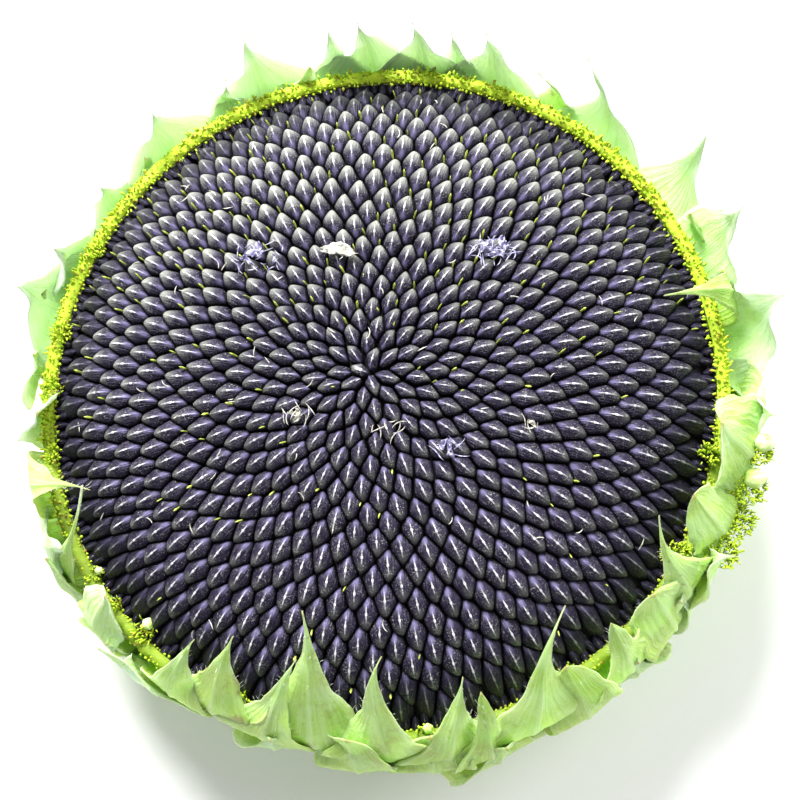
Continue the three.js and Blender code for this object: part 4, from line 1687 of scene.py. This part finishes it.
@dataclass
class Involucre:
    """The whorl of bracts round the rim, with the collar that they grow from.

    Attributes:
        form: The head's shared sizes.
        finishes: The materials.
        steps: How many steps a blade has along.
        lanes: How many lines of points it has across. An odd number gives it a middle line.
        thickness: How thick it is at its rib.
        outer_count: How many bracts the outermost row has.
        nesting: How much further out every other bract lies.
        collar: How thick the collar is.
        collar_steps: How many steps a turn of it has.
        hairs: How many hairs stand on the flank.
        flat_sides: Where the whorl is a little flattened, over how many degrees, and how much less the
            outermost bracts stand out there.
        inner_share: The share of that which holds for the rows further in.
    """

    form: HeadForm
    finishes: Finishes
    steps: int = 44
    lanes: int = 17
    thickness: float = 0.8
    outer_count: int = 14
    nesting: float = 1.4
    collar: float = 2.0
    collar_steps: int = 220
    hairs: int = 2600
    flat_sides: tuple[tuple[float, float, float], ...] = (
        (70.0, 60.0, 5.0),
        (244.0, 26.0, 5.5),
        (320.0, 14.0, 3.5),
        (179.0, 10.0, 4.0),
    )
    inner_share: float = 0.8

    def bracts(self) -> list[Bract]:
        """List the bracts of the inner and middle rows, then the outermost row, which goes by rule.

        Returns:
            All bracts.
        """
        inner, middle = Row.INNER, Row.MIDDLE
        spike, tail, broad, blunt = Outline
        # The ninth number, pale, is mostly painted light: high for the bracts on the side of the key light.
        listed = [
            Bract(middle, tail, 9, 9, 92, 52, 29, 66, 0.85),
            Bract(inner, tail, 14, 14, 67.5, 46, 13, 165, 0.1),
            Bract(inner, tail, 22, 22, 89, 54, 22, 70, 0.85, 0.1, 0.0, 0.3),
            Bract(middle, spike, 34, 35, 95, 50, 26, 45, 0.9),
            Bract(inner, spike, 49, 54, 86, 56, 25, 75, 1.0),
            Bract(middle, spike, 58, 58, 79, 52, 22, 95, 0.7, 0.8, 3.0),
            Bract(inner, spike, 70, 70, 82, 56, 26, 90, 1.0),
            Bract(middle, spike, 76, 76, 82, 54, 25, 88, 1.0),
            Bract(inner, spike, 82, 82, 81, 57, 23, 92, 1.0),
            Bract(inner, spike, 91, 91, 81, 58, 32, 90, 1.0),
            Bract(middle, spike, 97, 96, 82, 56, 26, 88, 1.0),
            Bract(inner, spike, 110, 110, 87, 53, 31, 68, 1.0, 0.1, -1.5),
            Bract(middle, spike, 117, 115, 82, 46, 24, 80, 1.0),
            Bract(inner, spike, 129, 128, 85, 48, 29, 60, 1.0),
            Bract(middle, spike, 142, 143, 83, 44, 28, 75, 1.0),
            Bract(middle, broad, 155, 156, 82, 46, 22, 70, 0.95),
            Bract(inner, spike, 163, 164, 88, 48, 31, 22, 0.95),
            Bract(middle, blunt, 181, 184, 78, 43, 19, 95, 0.75, 0.1, 0.0, 0.7),
            Bract(inner, tail, 194, 200, 67.5, 47, 17, 165, 0.0, 0.2, 1.5, 0.3),
            Bract(middle, broad, 203, 208, 79, 44, 22, 110, 0.6, 0.3),
            Bract(middle, tail, 209, 204, 68, 50, 9, 140, 0.1, 0.3, -4.0),
            Bract(inner, blunt, 220, 219, 76, 44, 17, 120, 0.45, 0.3, 0.0, 0.4),
            Bract(middle, tail, 233, 224, 85, 42, 26, 60, 0.6, 0.9, 0.0, -0.9),
            Bract(inner, tail, 236, 236, 69, 48, 20, 140, 0.25, 0.3, 1.0),
            Bract(inner, tail, 243, 243, 64, 51, 27, 140, 0.1, 0.8, 0.6),
            Bract(inner, tail, 252, 256, 64, 51, 24, 140, 0.2, 0.35, 0.6),
            Bract(inner, tail, 260, 258, 54, 56, 34, 150, 0.25, 0.5, -1.6),
            Bract(middle, blunt, 267, 266, 79, 41, 22, 110, 0.15, 0.5),
            Bract(inner, tail, 272, 270, 62, 54, 31, 145, 0.2, 0.5, 3.6),
            Bract(middle, blunt, 278, 279, 79, 41, 22, 110, 0.1, 0.5),
            Bract(inner, tail, 281, 287, 69, 50, 25, 140, 0.2, 0.4, 0.0, 0.5, 0.5),
            Bract(middle, broad, 287, 289, 73, 48, 21, 140, 0.05, 0.5),
            Bract(inner, tail, 294, 304, 66.5, 55, 37, 150, 0.2, 0.3, 5.5),
            Bract(middle, blunt, 302, 303, 76, 45, 20, 150, 0.05, 0.4),
            Bract(inner, broad, 311, 313, 75, 46, 27, 150, 0.15, 0.3, 0.0, 0.4),
            Bract(middle, blunt, 320, 321, 77.5, 44, 22, 125, 0.1, 0.4, 0.0, 0.3),
            Bract(inner, tail, 325, 328.5, 70, 48, 28, 160, 0.2, 1.0, 4.5, 0.3),
            Bract(middle, tail, 329, 332, 88, 46, 19, 0, 0.45, 0.5),
            Bract(inner, blunt, 335, 338, 75, 46, 19, 140, 0.2, 0.3, 0.0, 0.3),
            Bract(inner, blunt, 347, 350, 77, 49, 30, 120, 0.25, 0.2, 0.0, -0.15),
            Bract(middle, tail, 355, 352, 88, 50, 28, 60, 0.6, 0.3),
        ]
        return listed + [self.outer_bract(k) for k in range(self.outer_count)]

    def outer_bract(self, k: int) -> Bract:
        """Give a bract of the outermost row, which hugs the flank.

        Args:
            k: Its number.

        Returns:
            The bract.
        """
        base = (k + 0.7 * (scatter(k, 3) - 0.5)) * 360 / self.outer_count
        return Bract(
            Row.OUTER,
            Outline.BROAD,
            base,
            base + 10 * (scatter(k, 4) - 0.5),
            84.5 + 2.5 * scatter(k, 5) - self.drawn_in(base),
            33 + 7 * scatter(k, 6),
            26 + 5 * scatter(k, 7),
            75 + 20 * scatter(k, 8),
            0.2 + 0.3 * scatter(k, 9),
            0.3 + 0.5 * scatter(k, 10),
        )

    def drawn_in(self, azimuth: float) -> float:
        """Give how much less the outermost bracts stand out at an azimuth, in degrees."""
        return sum(
            depth * math.exp(-(((azimuth - place) / width) ** 2)) for place, width, depth in self.flat_sides
        )

    def spine(self, bract: Bract, number: int, t: np.ndarray) -> tuple[np.ndarray, np.ndarray]:
        """Bend a blade's middle line from its root over the bulge of the flank to its tip.

        Args:
            bract: Which bract it is.
            number: Its number.
            t: Places along it.

        Returns:
            Its radii and heights.
        """
        root_r, root_z, swell_r, swell_z = bract.row.value
        drawn_in = self.drawn_in(bract.base) * (1.0 if bract.row is Row.OUTER else self.inner_share)
        bulge = np.array([swell_r - drawn_in + (number % 2) * self.nesting, swell_z])
        tip = np.array([bract.tip_radius, bract.tip_height])
        pointing = math.radians(bract.pointing)
        back = tip - 0.38 * np.linalg.norm(tip - bulge) * np.array([math.cos(pointing), math.sin(pointing)])
        corners = (np.array([root_r, root_z]), bulge, back, tip)
        weights = ((1 - t) ** 3, 3 * (1 - t) ** 2 * t, 3 * (1 - t) * t**2, t**3)
        return tuple(sum(weight * corner[k] for weight, corner in zip(weights, corners)) for k in range(2))

    def blade(self, bract: Bract, number: int) -> Blade:
        """Build one blade.

        Args:
            bract: Which bract it is.
            number: Its number.

        Returns:
            Its points, its faces and its two layers.
        """
        t = (np.linspace(0, 1, self.steps + 1) ** 0.9)[:, None]
        lane = np.linspace(-1, 1, self.lanes)[None]
        radius, height = self.spine(bract, number, t)
        phase = FULL_TURN * scatter(number, 71)
        side_of = np.sign(lane)
        free = smooth(0.3, 0.6, t)

        body = 0.42 + 0.08 * np.sin(math.pi * np.minimum(1, t / 0.42))
        coarse = 0.07 * np.sin(11 * t + phase + 2 * side_of)
        ragged = 1 + free * (coarse + 0.04 * np.sin(29 * t + 3 * phase - side_of))
        ragged = ragged + free * 0.03 * np.sin(63 * t + 5 * phase + side_of)
        half = np.maximum(bract.width * body * bract.outline.taper(t) * ragged, 0.13)
        across = lane * half
        turned = bract.twist * smooth(0.4, 0.95, t) + 0.35 * free * np.sin(4 * t + phase)
        hooked = bract.hook * np.clip((t - 0.68) / 0.32, 0, 1) ** 2.8
        azimuth = np.radians(bract.base + (bract.tip - bract.base) * np.clip((t - 0.3) / 0.7, 0, 1) ** 1.5)
        sideways = across * np.cos(turned) + hooked
        surface = around(radius, azimuth + sideways / np.maximum(radius, 40), height)

        outwards = unit(np.cross(np.gradient(surface, axis=1), np.gradient(surface, axis=0)))
        spine_out = outwards[:, self.lanes // 2][:, None]
        wave = 1.1 * free * lane**2 * np.sin(12 * t + phase + 1.7 * side_of) * np.minimum(1, half / 5)
        curl = 0.9 * free * np.abs(lane) ** 5 * np.sin(5 * t + 2 * phase + side_of) * np.minimum(1, half / 4)
        keel = (bract.fold + 0.12 * free) * free * np.abs(across)
        buckle = 0.6 * free * np.sin(7 * t + 2 * phase + lane) * (1 - t)
        veins = 0.09 * np.cos(FULL_TURN * 3.5 * lane) * np.minimum(1, half / 6)
        rib = 0.28 * np.exp(-((across / 0.7) ** 2))
        surface = surface + spine_out * (across * np.sin(turned))[..., None]
        surface = surface + outwards * (wave + curl + buckle + veins - keel)[..., None]
        thick = self.thickness * (1 - 0.6 * t) * (1 - 0.75 * lane**2) + 0.16
        outer = surface + outwards * (thick / 2 + rib)[..., None]
        inner = surface - outwards * (thick / 2)[..., None]
        return self.shell(outer, inner, t, lane, bract, number)

    def shell(
        self,
        outer: np.ndarray,
        inner: np.ndarray,
        t: np.ndarray,
        lane: np.ndarray,
        bract: Bract,
        number: int,
    ) -> Blade:
        """Close the two faces of a blade in one skin.

        Args:
            outer: Its outer face as a grid of points.
            inner: Its inner face.
            t: How far along each row is.
            lane: How far across each column is.
            bract: Which bract it is.
            number: Its number.

        Returns:
            Its points, its faces and its two layers.
        """
        rows, columns = self.steps + 1, self.lanes
        total = rows * columns
        along = np.broadcast_to(t, (rows, columns)).ravel()
        across = np.broadcast_to(lane, (rows, columns)).ravel()
        chance = np.full(total, scatter(number, 72))
        blade = np.tile(np.stack([along, across, chance], -1), (2, 1))
        # Paleness, mostly painted light, a little higher towards the tip.
        pale = np.clip(bract.pale + 0.25 * (along - 0.5), 0, 1)
        inner_side = np.repeat([0.0, 1.0], total)
        tint = np.stack([np.tile(pale, 2), np.full(2 * total, bract.stain), inner_side], -1)
        return *closed_sheet(outer, inner), blade, tint

    def build(self) -> list[bpy.types.Object]:
        """Build the bracts, the collar and the hairs on them.

        Returns:
            The pieces.
        """
        drafts = {row: MeshDraft() for row in Row}
        places = []
        bracts = self.bracts()
        listed = len(bracts) - self.outer_count
        for number, bract in enumerate(bracts):
            index = number - listed if bract.row is Row.OUTER else number
            points, faces, blade, tint = self.blade(bract, index)
            drafts[bract.row].add(points, faces, blade=blade, tint=tint)
            places.append(points[: len(points) // 2].reshape(self.steps + 1, self.lanes, 3))
        blade, tint = np.array([0.1, 0.5, 0.5]), np.array([0.3, 0.5, 0.0])
        drafts[Row.OUTER].add(*self.collar_ring(), blade=blade, tint=tint)
        leaf = self.finishes["bract"]
        pieces = [draft.make(f"bracts_{row.name.lower()}", leaf) for row, draft in drafts.items()]
        pieces.append(self.build_hairs(places))
        return [declare(piece, "involucre") for piece in pieces]

    def collar_ring(self) -> Solid:
        """Build the collar, in which the bracts' bases grow together.

        Returns:
            Its points and faces.
        """
        flank = np.array(self.form.flank, float)
        share = np.linspace(0, 1, 13)
        length = np.concatenate([[0], np.cumsum(np.linalg.norm(np.diff(flank, axis=0), axis=1))])
        fine = np.stack([np.interp(share * length[-1], length, flank[:, k]) for k in range(2)], -1)
        slope = unit(np.gradient(fine, axis=0))
        swell = self.collar * np.sin(math.pi * (0.12 + 0.8 * share))[:, None] + 0.25
        outside = fine + swell * np.stack([slope[:, 1], -slope[:, 0]], -1)
        outline = np.concatenate([outside, fine[::-1]])
        steps = self.collar_steps
        turn = angles(steps)
        points = around(outline[:, None, 0], turn[None], outline[:, None, 1])
        lumps = 0.25 * np.sin(17 * turn) + 0.2 * np.sin(41 * turn + 1)
        points[: len(outside), :, 2] -= lumps[None] * np.sin(math.pi * share)[:, None]
        faces = grid_faces(len(outline), steps, closed=True)
        here = np.arange(steps)
        there = (here + 1) % steps
        last = (len(outline) - 1) * steps
        seam = np.stack([last + here, last + there, there, here], -1)
        return points.reshape(-1, 3), [faces, seam]

    def build_hairs(self, places: list[np.ndarray]) -> bpy.types.Object:
        """Build fine hairs on the outer faces and margins of the blades.

        Args:
            places: The outer face of each blade, as a grid of points.

        Returns:
            All hairs as one piece.
        """
        number = np.arange(self.hairs)
        which = (scatter(number, 81) * len(places)).astype(int)
        step = (scatter(number, 82) ** 1.3 * (self.steps - 4)).astype(int) + 2
        at_margin = scatter(number, 83) < 0.6
        edge = np.where(scatter(number, 84) < 0.5, 0, self.lanes - 1)
        lane = np.where(at_margin, edge, (scatter(number, 85) * self.lanes).astype(int))
        stacked = np.stack(places)
        roots = stacked[which, step, lane]
        beside = stacked[which, step, np.clip(lane, 1, self.lanes - 2)]
        up = unit(stacked[which, step + 1, lane] - roots)
        side = unit(roots - beside + 1e-6)
        azimuth = np.arctan2(roots[:, 1], roots[:, 0])
        away = around(0.8, azimuth, -0.3)
        heading = unit(np.where(at_margin[:, None], side * 1.2, away) + 0.6 * up)
        length = 0.7 + 0.9 * scatter(number, 86)
        tips = roots + heading * length[:, None]
        bend = up * (0.12 * length)[:, None]
        draft = MeshDraft()
        draft.add(*needles(roots - heading * 0.1, tips, bend, 0.035))
        return draft.make("bract_hairs", self.finishes["hair"])


# The back of the head


@dataclass
class Receptacle:
    """The fleshy back of the head and its cut stub of stem.

    Attributes:
        form: The head's shared sizes.
        finishes: The materials.
        stub_radius: The radius of the stub at its cut.
        stub_height: Where the stub has widened into the back.
        steps: How many steps a turn has.
        hairs: How many bristles stand on the stub and the back.
        cut_steps: How many steps a turn of the cut face has.
        strand_radius: Where the ring of strands in the cut face lies.
    """

    form: HeadForm
    finishes: Finishes
    stub_radius: float = 14.5
    stub_height: float = 10.5
    steps: int = 216
    hairs: int = 2200
    cut_steps: int = 96
    strand_radius: float = 12.2

    def outline(self) -> np.ndarray:
        """Give the back's outline as a smooth line from the stub's cut edge to the lip.

        Returns:
            Radii and heights.
        """
        r, h = self.stub_radius, self.stub_height
        stub = [(r, 0.25), (r + 0.15, 2.0), (r + 0.4, h * 0.5), (r + 1.1, h * 0.74), (r + 2.6, h * 0.91)]
        under = [(r + 6.5, h), (27, 10.2), (34, 9.75), (48, 10.5), (56, 12.4)]
        flank = [(a - 0.3, b + 0.15) for a, b in self.form.flank]
        knots = np.array(stub + under + flank)
        length = np.concatenate([[0], np.cumsum(np.linalg.norm(np.diff(knots, axis=0), axis=1))])
        even = np.linspace(0, length[-1], 64)
        line = np.stack([np.interp(even, length, knots[:, k]) for k in range(2)], -1)
        soft = line.copy()
        soft[1:-1] = (line[:-2] + 2 * line[1:-1] + line[2:]) / 4
        return soft

    def skin(self) -> tuple[np.ndarray, np.ndarray]:
        """Shape the back with the ribs of the strands that run out from the stem.

        Returns:
            A grid of points, and the layer for the finish.
        """
        line = self.outline()
        radius = line[:, None, 0]
        height = line[:, None, 1]
        turn = angles(self.steps)[None]
        on_stub = 1 - smooth(self.stub_radius + 1, self.stub_radius + 6, radius)
        on_back = smooth(self.stub_radius + 3, 28, radius) * (1 - smooth(46, 57, radius))
        ribs = 0.7 * np.cos(18 * turn) + 0.3 * np.cos(7 * turn + 1)
        fine = 0.22 * np.cos(54 * turn + 0.09 * radius) + 0.15 * np.cos(90 * turn - 0.13 * radius)
        flutes = 0.025 * np.cos(12 * turn) + 0.012 * np.cos(36 * turn + 0.4)
        swollen = radius * (1 + flutes * on_stub * smooth(0.0, 1.5, height))
        lowered = height - (ribs + fine) * on_back + 0.3 * on_back * np.sin(5 * turn + 0.1 * radius)
        points = around(swollen, turn, lowered)
        rib = 0.5 + 0.5 * np.cos(18 * turn) * on_back + 0.3 * np.cos(12 * turn) * on_stub
        wear = np.broadcast_to(radius / 60, rib.shape)
        layer = np.stack([rib, wear, np.broadcast_to(np.abs(turn - math.pi), rib.shape)], -1)
        return points, layer

    def build(self) -> list[bpy.types.Object]:
        """Build the back, the cut face and the bristles.

        Returns:
            The pieces.
        """
        points, layer = self.skin()
        lip = points[-1].copy()
        inside = np.stack([lip * [0.975, 0.975, 1], lip * [0.965, 0.965, 1] - [0, 0, 5]])
        grid = np.concatenate([points, inside])
        layers = np.concatenate([layer, np.repeat(layer[-1:], 2, axis=0)])
        flat = grid.reshape(-1, 3)
        count = len(flat)
        centres = np.array([[0, 0, 0.25], [0, 0, 30.0]])
        cut = fan(count, 0, self.steps, turned_over=True)
        top = fan(count + 1, count - self.steps, self.steps)
        draft = MeshDraft()
        draft.add(
            np.concatenate([flat, centres]),
            [grid_faces(len(grid), self.steps, closed=True), cut, top],
            back=np.concatenate([layers.reshape(-1, 3), np.array([[0.5, 0.2, 0.1], [0.5, 0.2, 0.1]])]),
        )
        back = draft.make("receptacle_back", self.finishes["back"])
        pieces = [back, self.build_cut_face(), self.build_hairs(points)]
        return [declare(piece, "receptacle") for piece in pieces]

    def build_cut_face(self) -> bpy.types.Object:
        """Build the pith of the cut stub, with the ring of strands round it.

        Returns:
            The cut face as a thin disc.
        """
        steps = self.cut_steps
        turn = angles(steps)
        inner = np.linspace(0.6, self.stub_radius - 0.35, 16)
        radius = np.append(inner, self.stub_radius - 0.3)[:, None]
        ring = np.exp(-(((radius - self.strand_radius) / 0.8) ** 2))
        strands = ring * (0.5 + 0.5 * np.cos(24 * turn[None]))
        pores = 0.12 * scatter(np.arange(len(radius) * steps).reshape(len(radius), steps), 91)
        low = np.where(radius < self.stub_radius - 0.33, 0.22 - 0.2 * strands - pores, 0.5)
        points = around(radius, turn[None], np.maximum(low, 0.0))
        count = len(radius) * steps
        centres = np.array([[0, 0, 0.15], [0, 0, 0.5]])
        bottom = fan(count, 0, steps, turned_over=True)
        top = fan(count + 1, count - steps, steps)
        draft = MeshDraft()
        draft.add(
            np.concatenate([points.reshape(-1, 3), centres]),
            [grid_faces(len(radius), steps, closed=True), bottom, top],
        )
        return draft.make("stub_cut_face", self.finishes["pith"])

    def build_hairs(self, points: np.ndarray) -> bpy.types.Object:
        """Build the bristles of the stub and the finer ones of the back.

        Args:
            points: The back's grid of points.

        Returns:
            All bristles as one piece.
        """
        number = np.arange(self.hairs)
        rows = points.shape[0]
        row = 2 + (scatter(number, 92) ** 1.2 * (rows - 8)).astype(int)
        column = (scatter(number, 93) * self.steps).astype(int)
        roots = points[row, column]
        along = unit(points[row + 1, column] - roots)
        side = unit(points[row, (column + 1) % self.steps] - roots)
        outwards = unit(np.cross(side, along))
        outwards = np.where(outwards[:, 2:3] > 0.3, -outwards, outwards)
        heading = unit(outwards + 0.5 * along * (scatter(number, 94)[:, None] - 0.2))
        length = 0.8 + 1.2 * scatter(number, 95)
        tips = roots + heading * length[:, None]
        keep = tips[:, 2] > 0.1
        draft = MeshDraft()
        draft.add(*needles(roots[keep] - heading[keep] * 0.1, tips[keep], along[keep] * 0.12, 0.04))
        return draft.make("back_bristles", self.finishes["hair"])


# The studio


@dataclass(frozen=True)
class SoftLight:
    """One large soft light.

    Attributes:
        name: Its name.
        place: Where it stands, in metres.
        size: How wide it is.
        power: How strong it is, in watts.
        colour: Its colour.
    """

    name: str
    place: tuple[float, float, float]
    size: float
    power: float
    colour: Colour = (1.0, 1.0, 1.0)


@dataclass
class Studio:
    """Floor, lights and camera.

    Attributes:
        elevation: How far above the horizon the camera is, in degrees.
        azimuth: The direction that it looks from, in degrees.
        distance: How far it is from the middle of the head.
        aim_height: The height of the point that it looks at.
        focal_pixels: The focal length in pixels of the photograph.
        photo_width: The width of the photograph in pixels.
        middle_x: Where the aimed point lies in the photograph, in pixels from the left.
        middle_y: Where it lies from the top.
        floor_reach: How far the floor reaches to each side.
        floor_grey: How light the floor is.
        air_strength: How strong the light from all around is.
        light_aim: The height of the point that the lights face.
        lights: The soft lights.
    """

    elevation: float = 74.6
    azimuth: float = -63.0
    distance: float = 0.320
    aim_height: float = 0.038
    focal_pixels: float = 1398.0
    photo_width: float = 800.0
    middle_x: float = 373.7
    middle_y: float = 385.0
    floor_reach: float = 6.0
    floor_grey: float = 0.96
    air_strength: float = 0.46
    light_aim: float = 0.03
    lights: tuple[SoftLight, ...] = (
        SoftLight("key", (-0.20, 0.74, 0.66), 0.60, 36.0),
        SoftLight("fill_right", (0.78, 0.30, 0.62), 0.60, 6.0),
        SoftLight("fill_front", (-0.10, -0.80, 0.65), 0.60, 0.9, (0.84, 0.80, 1.0)),
    )

    def build(self) -> None:
        """Build the floor, the lights and the camera."""
        self.build_camera()
        self.build_floor()
        for light in self.lights:
            self.build_light(light)
        world = bpy.data.worlds.new("studio_air")
        world.use_nodes = True
        air = world.node_tree.nodes["Background"]
        air.inputs["Color"].default_value = (1.0, 1.0, 1.0, 1.0)
        air.inputs["Strength"].default_value = self.air_strength
        bpy.context.scene.world = world
        bpy.context.scene.view_settings.view_transform = "Standard"

    def build_camera(self) -> None:
        """Build the camera at the photograph's viewing angle."""
        data = bpy.data.cameras.new("camera")
        data.sensor_width = 36.0
        data.lens = data.sensor_width * self.focal_pixels / self.photo_width
        data.clip_start = 0.01
        data.shift_x = (self.photo_width / 2 - self.middle_x) / self.photo_width
        data.shift_y = -(self.photo_width / 2 - self.middle_y) / self.photo_width
        camera = bpy.data.objects.new("camera", data)
        up, turn = math.radians(self.elevation), math.radians(self.azimuth)
        back = Vector((math.cos(turn) * math.cos(up), math.sin(turn) * math.cos(up), math.sin(up)))
        right = Vector((0, 1, 0)).cross(back).normalized()
        above = back.cross(right)
        camera.location = Vector((0, 0, self.aim_height)) + back * self.distance
        turned_axes = [[right[k], above[k], back[k]] for k in range(3)]
        camera.rotation_euler = Matrix(turned_axes).to_euler()
        bpy.context.scene.collection.objects.link(camera)
        bpy.context.scene.camera = camera

    def build_floor(self) -> None:
        """Build the plain pale floor."""
        mesh = bpy.data.meshes.new("floor")
        reach, grey = self.floor_reach, self.floor_grey
        corners = [(-reach, -reach, 0), (reach, -reach, 0), (reach, reach, 0), (-reach, reach, 0)]
        mesh.from_pydata(corners, [], [(0, 1, 2, 3)])
        material, _, shader = start_material("floor_paper")
        shader.inputs["Base Color"].default_value = (grey, grey, grey, 1.0)
        shader.inputs["Roughness"].default_value = 0.9
        mesh.materials.append(material)
        floor = bpy.data.objects.new("floor", mesh)
        bpy.context.scene.collection.objects.link(floor)

    def build_light(self, light: SoftLight) -> None:
        """Build one soft light that faces the head.

        Args:
            light: The light.
        """
        data = bpy.data.lights.new(light.name, "AREA")
        data.shape = "DISK"
        data.size = light.size
        data.energy = light.power
        data.color = light.colour
        lamp = bpy.data.objects.new(light.name, data)
        lamp.location = light.place
        facing = Vector((0, 0, self.light_aim)) - lamp.location
        lamp.rotation_euler = facing.to_track_quat("-Z", "Y").to_euler()
        bpy.context.scene.collection.objects.link(lamp)


def main() -> None:
    """Build every sub-assembly in order."""
    logging.basicConfig(level=logging.INFO, format="%(name)s %(message)s")
    Studio().build()
    form = HeadForm()
    finishes = Finishes()
    seeds = SeedDisc(form, finishes)
    seeds.build()
    seeds.build_rim_seeds()
    seeds.build_bed()
    litter = DiscLitter(form, finishes)
    litter.build_tips()
    litter.build_bits()
    RimFlorets(form, finishes).build()
    Involucre(form, finishes).build()
    Receptacle(form, finishes).build()


if __name__ == "__main__":
    main()
